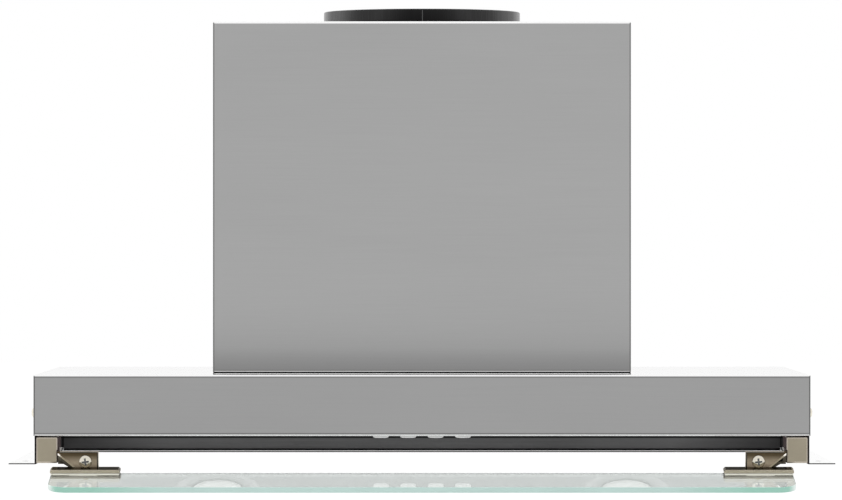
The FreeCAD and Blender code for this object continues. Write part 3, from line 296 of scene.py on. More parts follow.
def foot_shaded_steel(name, colour, foot, rise):
    """Steel brushed along X, with painted shade that darkens it towards its foot, over a rise above it."""
    finish = Finish(name)
    grain, broad = finish.brush_marks(1100)
    foot_shade = finish.ramp(finish.along(2), foot, foot + rise, 0.80)
    return finish.close(
        Base_Color=finish.shaded(colour, foot_shade * (1 + grain * 0.12 + broad * 0.08)),
        Metallic=1.0,
        Roughness=0.36 + grain * 0.16 + broad * 0.06,
        Normal=finish.relief(grain, 0.05),
    )


def plated(name, colour, roughness, worn=0.12, edge_tint=1.0):
    """Cast or pressed metal under a satin plating, lighter where it is rubbed."""
    finish = Finish(name)
    speckle = finish.noise(1400, 3, 0.6)
    cloud = finish.noise(90, 3, 0.55)
    return finish.close(
        Base_Color=finish.shaded(colour, 1 + speckle * worn + cloud * (2 * worn)),
        Metallic=1.0,
        Roughness=roughness + speckle * 0.12 + cloud * 0.1,
        Specular_Tint=(*grey(edge_tint), 1),
        Normal=finish.relief(speckle, 0.06),
    )


def lens_shaded_ring(name, box):
    """Satin metal of the lamps' rings, with painted shade that darkens it towards the lens in the middle."""
    finish = Finish(name)
    low, high = box
    speckle = finish.noise(1400, 3, 0.6)
    radius = (high.y - low.y) / 2
    from_x = finish.outwards() - (high.x - radius)
    from_y = finish.along(1) - (low.y + radius)
    away = finish.node("ShaderNodeMath", {"operation": "SQRT"}, {0: from_x * from_x + from_y * from_y})
    # Painted shade towards the lens.
    dish = finish.ramp(away, radius * 0.6, radius, 0.3)
    return finish.close(
        Base_Color=finish.shaded(grey(0.34), dish * (1 + speckle * 0.1)),
        Metallic=1.0,
        Roughness=0.3 + speckle * 0.1,
        Normal=finish.relief(speckle, 0.05),
    )


def moulded(name, colour, roughness, grain=0.05, sheen=0.5, ior=1.5):
    """Moulded plastic or rubber with a fine spark-eroded grain."""
    finish = Finish(name)
    pores = finish.noise(2200, 2, 0.6)
    flow = finish.noise(45, 3, 0.5, (1, 1, 0.4))
    return finish.close(
        Base_Color=finish.shaded(colour, 1 + pores * 0.12 + flow * 0.14),
        Roughness=roughness + pores * 0.14 + flow * 0.08,
        Specular_IOR_Level=sheen,
        IOR=ior,
        Normal=finish.relief(pores, grain),
    )


def painted(name, colour, roughness):
    """Paint with a slight orange peel."""
    finish = Finish(name)
    peel = finish.noise(420, 2, 0.5)
    cloud = finish.noise(30, 2, 0.5)
    return finish.close(
        Base_Color=finish.shaded(colour, 1 + cloud * 0.16),
        Roughness=roughness + peel * 0.1,
        Coat_Weight=0.25,
        Normal=finish.relief(peel, 0.12, 0.3 * MM),
    )


def laminated(name, colour):
    """Stacked electrical steel, with lines between the sheets across X."""
    finish = Finish(name)
    bands = finish.node(
        "ShaderNodeTexWave",
        {"wave_type": "BANDS", "bands_direction": "X"},
        {"Vector": finish.place, "Scale": 320.0, "Distortion": 0.4, "Detail": 1.0},
        output=1,
    )
    rust = finish.noise(140, 3, 0.6)
    return finish.close(
        Base_Color=finish.shaded(colour, 0.7 + bands * 0.35 + rust * 0.3),
        Metallic=0.8,
        Roughness=0.5 + rust * 0.2,
        Normal=finish.relief(bands, 0.25, 0.3 * MM),
    )


def diffusing(name):
    """A frosted lamp lens with small prisms."""
    finish = Finish(name)
    prisms = finish.node(
        "ShaderNodeTexVoronoi", {"feature": "SMOOTH_F1"}, {"Vector": finish.place, "Scale": 620.0, "Smoothness": 0.4}
    )
    frost = finish.noise(1800, 2, 0.6)
    return finish.close(
        Base_Color=finish.shaded((0.92, 0.92, 0.90), 0.96 + prisms * 0.06 + frost * 0.03),
        Roughness=0.32 + frost * 0.1,
        Normal=finish.relief(prisms, 0.35, 0.4 * MM),
    )


def clear_glass(name, colour):
    """Float glass, with the faintest smears on it."""
    finish = Finish(name)
    smear = finish.noise(30, 3, 0.6, (0.4, 1, 1))
    return finish.close(
        Base_Color=finish.shaded(colour, 0.985 + smear * 0.02),
        Roughness=0.018 + smear * 0.012,
        IOR=1.5,
        Transmission_Weight=1.0,
    )


def ground_edge(name, colour):
    """The polished edge of the glass, where its green shows, deeper towards the ends and pale round the corners."""
    finish = Finish(name)
    ripple = finish.noise(120, 3, 0.6, (0.25, 1, 1))
    outwards = finish.outwards()
    ends = finish.ramp(outwards, 180 * MM, 235 * MM)
    corners = finish.ramp(outwards, 262 * MM, 267.2 * MM)
    deep = (colour[0] * 0.62, colour[1] * 0.86, colour[2] * 0.76)
    green = finish.blended(corners, finish.blended(ends, colour, deep), (0.86, 0.95, 0.92))
    return finish.close(
        Base_Color=finish.shaded(green, 1 + ripple * 0.2), Roughness=0.16 + ripple * 0.08, IOR=1.5
    )


def shaded_wall(name, colour):
    """Dark sheet, brushed along X, with painted shade: darker towards its ends, and a black line of shade along it."""
    finish = Finish(name)
    grain = finish.noise(700, 3, 0.7, (0.02, 1, 1))
    cloud = finish.noise(22, 2, 0.5, (0.3, 1, 1))
    # Painted shade: darker towards the ends, black from about 9 to 12.5 mm up, and paler above.
    ends = finish.ramp(finish.outwards(), 195 * MM, 255 * MM, 1.0, 0.52)
    height = finish.along(2)
    below_shade_line = finish.ramp(height, 8.3 * MM, 9.1 * MM, 1.0, 0.08)
    above_shade_line = finish.ramp(height, 12.5 * MM, 14.5 * MM, 0.0, 0.62)
    shade = (below_shade_line + above_shade_line) * ends * (1 + grain * 0.5 + cloud)
    return finish.close(
        Base_Color=finish.shaded(colour, shade),
        Metallic=0.9,
        Roughness=0.42 + grain * 0.2,
        Normal=finish.relief(grain, 0.06),
    )


def streaked_plastic(name, colour, foot):
    """Black plastic with fine upright streaks from its mould, darker and less glossy towards its foot by painted
    shade, and glossier seen edge on.
    """
    finish = Finish(name)
    streaks = finish.noise(1500, 3, 0.7, (1, 1, 0.015))
    cloud = finish.noise(60, 2, 0.5, (1, 1, 0.1))
    # Painted shade at the foot, where the collar meets the lid.
    rise = finish.ramp(finish.along(2), foot, foot + 0.8 * MM, 0.1)
    gloss = finish.ramp(finish.edge_on(), 0.0, 0.13, 0.0, 0.6)
    uneven = 1 + streaks * 0.9 + cloud * 0.9
    return finish.close(
        Base_Color=finish.shaded(colour, rise * uneven),
        Roughness=0.26 + streaks * 0.16,
        Specular_IOR_Level=0.1,
        Coat_Weight=gloss * rise * uneven,
        Coat_Roughness=0.25,
        Normal=finish.relief(streaks, 0.08),
    )


def reflection_painted_nickel(name, hinge, glass):
    """The arms' nickel with a painted reflection: a dark colour towards the hinge, a paler one towards the glass."""
    finish = Finish(name)
    speckle = finish.noise(1100, 3, 0.6)
    cloud = finish.noise(120, 3, 0.55, (0.6, 1, 1))
    nickel = finish.blended(finish.ramp(finish.along(2), -0.8 * MM, 6 * MM), glass, hinge)
    return finish.close(
        Base_Color=finish.shaded(nickel, 1 + speckle * 0.3 + cloud * 0.35),
        Metallic=1.0,
        Roughness=0.36 + speckle * 0.12,
        Normal=finish.relief(speckle, 0.06),
    )


# The finish that each of the record's slots takes

SLOT_FINISHES = {
    "brushed_canopy": "canopy_steel",
    "bright_wall": "wall_steel",
    "brushed_box": "box_steel",
    "screw_steel": "screw_bright",
    "satin_nickel": "hinge_nickel",
    "clamp_rubber": "pad_rubber",
    "visor_pane": "pane_glass",
    "lamp_ring": "ring_metal",
    "lamp_diffuser": "frosted_lens",
    "lamp_sink": "sink_alloy",
    "white_key": "key_white",
    "dark_plastic": "switch_black",
    "filter_aluminium": "filter_alloy",
    "black_collar": "collar_black",
    "flap_plastic": "flap_grey",
    "pin_steel": "pin_bright",
    "scroll_plastic": "scroll_grey",
    "motor_casing": "casing_paint",
    "motor_iron": "stacked_iron",
    "capacitor_case": "capacitor_white",
}


def make_finishes(colours):
    """Make every material."""
    nickel = Vector(colours.nickel)
    shell_low, shell_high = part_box("motor_box_wrap")
    by_the_box = (shell_high.x, shell_low.y - 40 * MM)
    brushed("canopy_steel", colours.canopy, 0.34)
    # The canopy's top takes its steel made lighter: a painted reflection of the bright surround.
    glossed_steel("canopy_top", Vector(colours.canopy) * 1.25, grey(0.86), 0.3, by_the_box)
    # Dark steel for faces that point down under the hood: painted shade.
    brushed("underside_steel", grey(0.15), 0.3)
    brushed("wall_steel", grey(0.44), 0.36)
    glossed_steel("flange_steel", grey(0.44), grey(0.86), 0.3)
    brushed("box_steel", colours.motor_box, 0.36, lines=1100, streak=0.12)
    foot_shaded_steel("shell_steel", colours.motor_box, shell_low.z + 2 * MM, 16 * MM)
    # Paler steel for the band under the fascia's top bend and the underside panel's bead: a painted highlight.
    brushed("hem_steel", grey(0.42), 0.3)
    # A pale band at the motor box's foot, a painted highlight; above it a dark band, also used on the box's upright
    # bends, painted shade.
    brushed("foot_hem", grey(0.8), 0.3)
    brushed("foot_crease", grey(0.18), 0.36)
    # Near-white steel for the upper bends, the motor box's top edge and the lid's rim and hem: a painted highlight.
    brushed("bright_bend", grey(0.95), 0.2, streak=0.04, relief=0.01)
    # Paler steel for the lower bends and the upper front of the back wall's hem: a painted highlight.
    brushed("lip_bend", grey(0.66), 0.2, streak=0.04, relief=0.01)
    # Dark steel for the bands beside the fascia's top and bottom bends: painted shade.
    brushed("bend_line", grey(0.2), 0.34)
    # Dark steel for the upright bends, the arms' rail sides, the back wall's hem foot and the screws' recesses:
    # painted shade.
    brushed("dark_bend", grey(0.13), 0.3, streak=0.08, relief=0.01)
    brushed("filter_alloy", grey(0.62), 0.32, lines=600, stretch=(0.03, 1, 1))
    plated("screw_bright", (0.70, 0.66, 0.57), 0.24)
    plated("hinge_nickel", nickel, 0.34)
    # Pale nickel for the clamps' stepped layer: a painted highlight.
    plated("jaw_bright", (0.70, 0.68, 0.60), 0.3)
    # Paler nickel for rounded edges and the arms' rims: a painted highlight.
    plated("nickel_edge", (0.43, 0.385, 0.325), 0.28)
    plated("nickel_shade", nickel * 0.3, 0.45)
    # Near-white nickel for the arms' slanted bevels and the tops of their eyes: a painted highlight.
    plated("polished_bevel", (0.95, 0.92, 0.86), 0.15)
    # Near-black for the side walls' front ends: painted shade.
    plated("cut_edge", grey(0.02), 0.45)
    # Nickel whose gloss is tinted grey at the edge, so the jaws' tops stay dark seen edge on: painted shade.
    plated("jaw_top", nickel, 0.05, 0.03, edge_tint=0.3)
    # The clamps' nickel made lighter for the upper jaws: painted light.
    plated("jaw_front", nickel * 1.22, 0.34)
    lens_shaded_ring("ring_metal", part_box("lamp_bezels"))
    plated("sink_alloy", grey(0.5), 0.4)
    plated("pin_bright", grey(0.6), 0.22)
    reflection_painted_nickel("arm_nickel", (0.076, 0.056, 0.032), (0.375, 0.31, 0.23))
    moulded("pad_rubber", (0.36, 0.33, 0.27), 0.6)
    moulded("key_white", colours.keys, 0.28, grain=0.02)
    moulded("switch_black", (0.03, 0.03, 0.033), 0.45)
    moulded("flap_grey", (0.04, 0.04, 0.042), 0.5)
    moulded("scroll_grey", (0.06, 0.06, 0.064), 0.5)
    moulded("capacitor_white", (0.78, 0.78, 0.74), 0.35)
    # Black for the sealant in the back corners, and painted shade for the bead under the motor box, the back wall's
    # groove and the thin lines on the arms and clamps.
    moulded("seal_black", grey(0.004), 0.55, sheen=0.05)
    moulded("parting_line", grey(0.12), 0.4)
    # A dark matt finish for the inner faces of the side walls and hinge blocks: painted shade on steel.
    moulded("side_lining", (0.17, 0.135, 0.135), 0.8, sheen=0.0, ior=1.01)
    streaked_plastic("collar_black", colours.collar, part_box("motor_box_top")[1].z + 2.3 * MM)
    painted("casing_paint", (0.16, 0.165, 0.175), 0.4)
    laminated("stacked_iron", (0.22, 0.21, 0.2))
    diffusing("frosted_lens")
    clear_glass("pane_glass", colours.glass)
    ground_edge("pane_edge", colours.glass_edge)
    shaded_wall("inner_wall", colours.inner_wall)


def finish_named(name):
    """A material that the finishes operator has made."""
    return bpy.data.materials[name]


# Mesh building


def middle(low, high):
    """The middle of a box."""
    return [(a + b) / 2 for a, b in zip(low, high)]


def islands(node):
    """The boxes of the separate solids in a CAD node, as pairs of corners, from left to right."""
    bm = merged_copy(node)
    left = set(bm.verts)
    found = []
    while left:
        batch = [left.pop()]
        solid = []
        while batch:
            vert = batch.pop()
            solid.append(vert.co.copy())
            for edge in vert.link_edges:
                other = edge.other_vert(vert)
                if other in left:
                    left.discard(other)
                    batch.append(other)
        found.append((Vector(map(min, *solid)), Vector(map(max, *solid))))
    bm.free()
    return sorted(found, key=lambda box: tuple(box[0]))


def merged_copy(node):
    """A copy of a CAD node with its triangles joined and its flat faces made whole."""
    bm = bmesh.new()
    bm.from_mesh(frame["nodes"][node].data)
    bmesh.ops.remove_doubles(bm, verts=bm.verts, dist=2e-6)
    bmesh.ops.dissolve_limit(bm, angle_limit=math.radians(0.4), verts=bm.verts, edges=bm.edges)
    return bm


def is_sharp(edge):
    """Whether two faces meet at a corner here."""
    return len(edge.link_faces) == 2 and edge.calc_face_angle(0) > math.radians(40)


def ease(bm, width, segments=2, material=-1, chosen=is_sharp):
    """Round the chosen edges, and return the faces that this makes."""
    bm.normal_update()
    edges = [edge for edge in bm.edges if chosen(edge)]
    made = bmesh.ops.bevel(
        bm,
        geom=edges,
        offset=width,
        offset_type="OFFSET",
        segments=segments,
        profile=0.5,
        affect="EDGES",
        clamp_overlap=True,
        material=material,
    )
    for face in made["faces"]:
        face.smooth = True
    bm.normal_update()
    return made["faces"]


def mark_round(bm, slightest=0.008, steepest=0.6):
    """Shade the faces of curved surfaces smooth, by the angles in radians that they meet at, and leave flat ones."""
    for face in bm.faces:
        face.smooth = any(
            len(edge.link_faces) == 2 and slightest < abs(edge.calc_face_angle(0)) < steepest for edge in face.edges
        )


def coat(faces, material):
    """Give faces one of their piece's finishes, by its number, and return them."""
    for face in faces:
        face.material_index = material
    return faces


def band(bm, lower, upper):
    """Join two rings of points with faces, and return these; one of the rings may be a single point."""
    count = max(len(lower), len(upper))
    faces = []
    for n in range(count):
        m = (n + 1) % count
        ring = (lower[n % len(lower)], lower[m % len(lower)], upper[m % len(upper)], upper[n % len(upper)])
        faces.append(bm.faces.new(list(dict.fromkeys(ring))))
    return faces


def block(bm, low, high, material=0):
    """Add a box to a mesh, and return its faces."""
    x, y, z = zip(low, high)
    spots = [bm.verts.new((x[i], y[j], z[k])) for k in (0, 1) for j in (0, 1) for i in (0, 1)]
    rings = ((0, 2, 3, 1), (4, 5, 7, 6), (0, 1, 5, 4), (1, 3, 7, 5), (3, 2, 6, 7), (2, 0, 4, 6))
    return coat([bm.faces.new([spots[n] for n in ring]) for ring in rings], material)


def prism(bm, outline, low, high, axis, material=0):
    """Add a prism: an outline of pairs, drawn out along an axis from low to high, and return its faces: both ends,
    then one for each side of the outline."""

    def spot(pair, along):
        """Where a pair of the outline lies, some way along."""
        a, b = pair
        return {"X": (along, a, b), "Y": (a, along, b), "Z": (a, b, along)}[axis]

    rings = [[bm.verts.new(spot(pair, along)) for pair in outline] for along in (low, high)]
    faces = coat([bm.faces.new(ring) for ring in rings] + band(bm, *rings), material)
    bmesh.ops.recalc_face_normals(bm, faces=faces)
    return faces


def turned(bm, profile, centre, steps=96, closed=True):
    """Add a shape turned about an upright axis from pairs of radius and height."""
    around = [math.tau * n / steps for n in range(steps)]
    rings = []
    for radius, height in profile:
        angles = around if radius > 1e-9 else [0]
        rings.append(
            [
                bm.verts.new(
                    (centre[0] + radius * math.cos(angle), centre[1] + radius * math.sin(angle), centre[2] + height)
                )
                for angle in angles
            ]
        )
    pairs = list(zip(rings, rings[1:]))
    if closed:
        pairs.append((rings[-1], rings[0]))
    faces = [face for pair in pairs for face in band(bm, *pair)]
    for face in faces:
        face.smooth = True
    bmesh.ops.recalc_face_normals(bm, faces=faces)


def to_mesh(bm, name, sharp=38):
    """End a mesh: edges sharper than an angle in degrees stay sharp, and flat faces stay flat."""
    bmesh.ops.dissolve_degenerate(bm, dist=0.001 * MM, edges=bm.edges[:])
    bm.normal_update()
    for edge in bm.edges:
        edge.smooth = len(edge.link_faces) == 2 and abs(edge.calc_face_angle(0)) < math.radians(sharp)
    mesh = bpy.data.meshes.new(name)
    bm.to_mesh(mesh)
    bm.free()
    return mesh


def evaluated(obj):
    """The plain mesh that an object's modifiers give; the object is removed."""
    bpy.context.view_layer.update()
    depsgraph = bpy.context.evaluated_depsgraph_get()
    mesh = bpy.data.meshes.new_from_object(obj.evaluated_get(depsgraph), depsgraph=depsgraph)
    if not mesh.polygons:
        raise RuntimeError(f"{obj.name} has no faces")
    bpy.data.objects.remove(obj)
    return mesh


def loose(name, mesh):
    """A new object in the scene."""
    obj = bpy.data.objects.new(name, mesh)
    bpy.context.scene.collection.objects.link(obj)
    return obj


def piece(name, shape, body, finishes, replaced=()):
    """A finished piece from a mesh or a bmesh: its materials, the body it rides on and the nodes it
    stands for."""
    mesh = to_mesh(shape, name) if isinstance(shape, bmesh.types.BMesh) else shape
    mesh.name = name
    obj = loose(name, mesh)
    if not mesh.materials:
        for finish in finishes:
            mesh.materials.append(finish_named(finish))
    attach(obj, body)
    if replaced:
        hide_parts(*replaced)


def eased_node(node, body, slot, width, name, other_finish=None, pick=None):
    """A piece that is a CAD node with its corners rounded; the faces that are picked get another finish."""
    bm = merged_copy(node)
    mark_round(bm)
    if pick:
        for face in bm.faces:
            face.material_index = 1 if pick(face) else 0
    ease(bm, width)
    finishes = [SLOT_FINISHES[slot]] + ([other_finish] if other_finish else [])
    piece(name, bm, body, finishes, [node])


def dress(node, finish):
    """Give a CAD node that stays in view its finish."""
    for holder in frame["nodes"][node].material_slots:
        holder.material = finish_named(finish)


def thickened(name, bm, thickness):
    """A plain mesh from an open sheet, made thick on its inner side."""
    mesh = to_mesh(bm, name)
    obj = loose(name + "_sheet", mesh)
    wall = obj.modifiers.new("wall", "SOLIDIFY")
    wall.thickness = thickness
    wall.offset = -1
    wall.use_even_offset = True
    return evaluated(obj)


# Geometry Nodes


def growing_tree(name, inputs):
    """A new tree with inputs of given names and kinds: its sheet and the wires of its inputs."""
    tree = bpy.data.node_groups.new(name, "GeometryNodeTree")
    tree.interface.new_socket("Geometry", in_out="INPUT", socket_type="NodeSocketGeometry")
    for label, kind in inputs.items():
        tree.interface.new_socket(label, in_out="INPUT", socket_type=f"NodeSocket{kind}")
    tree.interface.new_socket("Geometry", in_out="OUTPUT", socket_type="NodeSocketGeometry")
    sheet = Sheet(tree)
    first = sheet.node("NodeGroupInput")
    wires = {socket.name: Wire(sheet, socket) for socket in first.socket.node.outputs if socket.name}
    return sheet, wires


def end_tree(sheet, shape, material, chosen=None, other=None):
    """Make instances real, set the material, and another one on chosen faces, and end the tree."""
    real = sheet.node("GeometryNodeRealizeInstances", None, {0: shape})
    shown = sheet.node("GeometryNodeSetMaterial", None, {"Geometry": real, "Material": material})
    if chosen:
        given = {"Geometry": shown, "Selection": chosen, "Material": other}
        shown = sheet.node("GeometryNodeSetMaterial", None, given)
    sheet.node("NodeGroupOutput", None, {"Geometry": shown})


def grown(name, tree, values, base=None):
    """The plain mesh that a tree grows with the given inputs, from a base mesh or from nothing."""
    obj = loose(name + "_base", bpy.data.meshes.new(name + "_base") if base is None else base)
    grow = obj.modifiers.new("grow", "NODES")
    grow.node_group = tree
    for item in tree.interface.items_tree:
        if item.in_out == "INPUT" and item.name in values:
            grow[item.identifier] = values[item.name]
    return evaluated(obj)


def cross_head(segments):
    """A domed screw head of radius 1 and height 1 with a cross recess, standing on the ground plane."""
    bm = bmesh.new()
    profile = [(0.0, 0.0), (0.94, 0.0), (1.0, 0.12), (1.0, 0.36), (0.93, 0.58), (0.72, 0.82), (0.42, 0.96), (0.0, 1.0)]
    turned(bm, profile, (0, 0, 0), segments, closed=False)
    head = loose("head_blank", to_mesh(bm, "head_blank", 50))
    bm = bmesh.new()
    for half_x, half_y in ((0.56, 0.15), (0.15, 0.56)):
        block(bm, (-half_x, -half_y, 0.5), (half_x, half_y, 1.4))
    cutter = loose("head_cutter", to_mesh(bm, "head_cutter"))
    recess = head.modifiers.new("recess", "BOOLEAN")
    recess.operation = "DIFFERENCE"
    recess.solver = "EXACT"
    recess.use_self = True
    recess.object = cutter
    mesh = evaluated(head)
    bpy.data.objects.remove(cutter)
    sunk = mesh.attributes.new("recess", "BOOLEAN", "FACE")
    for mark, face in zip(sunk.data, mesh.polygons):
        mark.value = face.center.xy.length < 0.6 and 0.1 < face.center.z < 0.86
    return loose("screw_head", mesh)


def screw_tree(material):
    """A tree that sets a screw head on each point, square to the point's aim and turned at random."""
    inputs = {"Head": "Object", "Head Radius": "Float", "Head Height": "Float", "Turn": "Float", "Seed": "Int"}
    sheet, given = growing_tree("screw_heads", inputs)
    head = sheet.node("GeometryNodeObjectInfo", None, {"Object": given["Head"]}, output="Geometry")
    aim = sheet.node("GeometryNodeInputNamedAttribute", {"data_type": "FLOAT_VECTOR"}, {"Name": "aim"})
    square = sheet.node("FunctionNodeAlignRotationToVector", {"axis": "Z"}, {"Vector": aim})
    span = {2: 0.0, 3: given["Turn"], "Seed": given["Seed"]}
    angle = sheet.node("FunctionNodeRandomValue", {"data_type": "FLOAT"}, span, output=1)
    spin = sheet.node("FunctionNodeAxisAngleToRotation", None, {"Axis": (0, 0, 1), "Angle": angle})
    facing = sheet.node("FunctionNodeRotateRotation", {"rotation_space": "LOCAL"}, {0: square, 1: spin})
    scale = sheet.node(
        "ShaderNodeCombineXYZ", None, {0: given["Head Radius"], 1: given["Head Radius"], 2: given["Head Height"]}
    )
    heads = sheet.node(
        "GeometryNodeInstanceOnPoints",
        None,
        {"Points": given["Geometry"], "Instance": head, "Rotation": facing, "Scale": scale},
    )
    sunk = sheet.node("GeometryNodeInputNamedAttribute", {"data_type": "BOOLEAN"}, {"Name": "recess"})
    # The cross recess takes the dark bend finish: painted shade.
    end_tree(sheet, heads, material, sunk, finish_named("dark_bend"))
    return sheet.tree


def aimed_points(spots):
    """A mesh of bare points, each with the direction it faces."""
    mesh = bpy.data.meshes.new("screw_points")
    mesh.from_pydata([spot for spot, _ in spots], [], [])
    aim = mesh.attributes.new("aim", "FLOAT_VECTOR", "POINT")
    for entry, (_, facing) in zip(aim.data, spots):
        entry.vector = facing
    return mesh


def diamond(width, depth, strand, thickness):
    """One diamond of expanded metal, twisted so that its side corners hang lower."""
    bm = bmesh.new()
    reach = ((width / 2, 0, -1), (0, depth / 2, 1), (-width / 2, 0, -1), (0, -depth / 2, 1))
    inner_x = 1 - 2 * strand / width
    inner_y = 1 - 2 * strand / depth
    rings = []
    for shrink_x, shrink_y, level in ((1, 1, 0), (inner_x, inner_y, 0), (inner_x, inner_y, 1), (1, 1, 1)):
        rings.append(
            [
                bm.verts.new((x * shrink_x, y * shrink_y, level * thickness + lean * thickness * 0.8))
                for x, y, lean in reach
            ]
        )
    for n, ring in enumerate(rings):
        band(bm, ring, rings[(n + 1) % len(rings)])
    bmesh.ops.recalc_face_normals(bm, faces=bm.faces)
    return to_mesh(bm, "diamond", 60)


def joined(sheet, *shapes):
    """Several shapes as one."""
    join = sheet.node("GeometryNodeJoinGeometry")
    for shape in shapes:
        sheet.tree.links.new(shape.socket, join.socket.node.inputs[0])
    return join


def mesh_tree(material):
    """A tree that lays diamonds on two staggered grids, in two layers."""
    inputs = {
        "Cell": "Object", "Width": "Float", "Depth": "Float", "Columns": "Int", "Rows": "Int",
        "Stagger": "Vector", "Layer": "Vector", "Centre": "Vector",
    }
    sheet, given = growing_tree("expanded_mesh", inputs)

    def moved(shape, by):
        """A shape moved by one of the inputs."""
        return sheet.node("GeometryNodeTransform", None, {"Geometry": shape, "Translation": given[by]})

    cell = sheet.node("GeometryNodeObjectInfo", None, {"Object": given["Cell"]}, output="Geometry")
    sides = {"Size X": "Width", "Size Y": "Depth", "Vertices X": "Columns", "Vertices Y": "Rows"}
    grid = sheet.node("GeometryNodeMeshGrid", None, {socket: given[name] for socket, name in sides.items()})
    net = sheet.node("GeometryNodeInstanceOnPoints", None, {"Points": grid, "Instance": cell})
    layer = joined(sheet, net, moved(net, "Stagger"))
    both = joined(sheet, layer, moved(layer, "Layer"))
    end_tree(sheet, moved(both, "Centre"), material)
    return sheet.tree


def bead_tree(material):
    """A tree that runs a wavering bead between two points."""
    inputs = {"Start": "Vector", "End": "Vector", "Radius": "Float", "Waver": "Float", "Points": "Int"}
    sheet, given = growing_tree("wavering_bead", inputs)
    line = sheet.node("GeometryNodeCurvePrimitiveLine", None, {"Start": given["Start"], "End": given["End"]})
    fine = sheet.node("GeometryNodeResampleCurve", None, {"Curve": line, "Count": given["Points"]})
    where = sheet.node("GeometryNodeInputPosition")
    wave = sheet.node("ShaderNodeTexNoise", None, {"Vector": where, "Scale": 60.0, "Detail": 2.0})
    lift = sheet.node("ShaderNodeCombineXYZ", None, {2: (wave - 0.5) * given["Waver"]})
    bent = sheet.node("GeometryNodeSetPosition", None, {"Geometry": fine, "Offset": lift})
    ring = sheet.node("GeometryNodeCurvePrimitiveCircle", None, {"Resolution": 8, "Radius": given["Radius"]})
    tube = sheet.node("GeometryNodeCurveToMesh", None, {"Curve": bent, "Profile Curve": ring, "Fill Caps": True})
    end_tree(sheet, tube, material)
    return sheet.tree


def black_bead(name, tree, **values):
    """A piece that is a black bead, from the values of its tree's inputs; in the back corners it is sealant, and under
    the motor box it is painted shade.
    """
    bead = grown(name, tree, {label.capitalize(): value for label, value in values.items()})
    piece(name, bead, "hood", ["seal_black"])


# Operators


class HOOD_OT_finishes(bpy.types.Operator):
    """Make the materials and give every CAD node the one of its slot"""

    bl_idname = "hood.finishes"
    bl_label = "Finishes"

    def execute(self, context):
        make_finishes(context.scene.hood_finishes)
        for row in frame["record"]["subparts"]:
            dress(row["node"], SLOT_FINISHES[row["material_slot"]])
        return {"FINISHED"}


class HOOD_OT_canopy(bpy.types.Operator):
    """Build the canopy's folded skin"""

    bl_idname = "hood.canopy"
    bl_label = "Canopy"

    def execute(self, context):
        sizes = context.scene.hood_sizes
        finishes = ["canopy_steel", "bright_bend", "dark_bend", "canopy_top", "bend_line", "lip_bend", "hem_steel"]
        low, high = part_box("canopy_cover")
        box_low, box_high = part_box("motor_box_wrap")
        inlet_half, inlet_margin, lip_mitre = 115 * MM, 24.5 * MM, 3 * MM
        x, y, z = (low.x, high.x), (low.y, high.y), (low.z - 0.3 * MM, high.z)
        inlet_x = (-inlet_half, inlet_half)
        inlet_y = (box_low.y + inlet_margin, box_high.y - inlet_margin)
        bm = bmesh.new()
        spots = {(i, j, k): bm.verts.new((x[i], y[j], z[k])) for i in (0, 1) for j in (0, 1) for k in (0, 1)}
        rim = {(i, j): bm.verts.new((inlet_x[i], inlet_y[j], z[1])) for i in (0, 1) for j in (0, 1)}
        lip_x = (x[0] + lip_mitre, x[1] - lip_mitre)
        lip = [bm.verts.new((lip_x[i], y[0] + sizes.lip, z[0])) for i in (0, 1)]
        lines = [
            [bm.verts.new((x[i], y[0], level)) for i in (0, 1)]
            for level in (z[0] + sizes.bend + 1.2 * MM, z[1] - 2.3 * MM, z[1] - 1.5 * MM)
        ]
        levels = [[spots[0, 0, 0], spots[1, 0, 0]], *lines, [spots[0, 0, 1], spots[1, 0, 1]]]
        # Bands up the fascia: a dark one at its foot, painted shade; plain steel; a dark line under the top bend,
        # painted shade; and a pale band, a painted highlight.
        bands = ("bend_line", "canopy_steel", "bend_line", "hem_steel")
        for finish, (lower, upper) in zip(bands, zip(levels, levels[1:])):
            face = bm.faces.new((lower[0], lower[1], upper[1], upper[0]))
            face.material_index = finishes.index(finish)
        bm.faces.new((lip[0], lip[1], spots[1, 0, 0], spots[0, 0, 0]))
        fronts = [[level[i] for level in levels] for i in (0, 1)]
        bm.faces.new((spots[1, 1, 0], spots[1, 1, 1], *fronts[1][::-1]))
        bm.faces.new((spots[0, 1, 1], spots[0, 1, 0], *fronts[0]))
        around = ((0, 0), (1, 0), (1, 1), (0, 1))
        for first, second in zip(around, around[1:] + around[:1]):
            face = bm.faces.new((spots[(*first, 1)], spots[(*second, 1)], rim[second], rim[first]))
            face.material_index = finishes.index("canopy_top")
        # Upright bends take painted shade, upper bends a painted highlight, and lower bends a paler painted highlight.
        for face in ease(bm, sizes.bend, 4):
            upright = abs(face.normal.z) < 0.2 and abs(face.normal.x) > 0.1
            upper = face.calc_center_median().z > (z[0] + z[1]) / 2
            face.material_index = finishes.index("dark_bend" if upright else "bright_bend" if upper else "lip_bend")
        mesh = thickened("canopy_skin", bm, sizes.sheet)
        piece("canopy_skin", mesh, "hood", finishes, ["canopy_cover"])
        return {"FINISHED"}


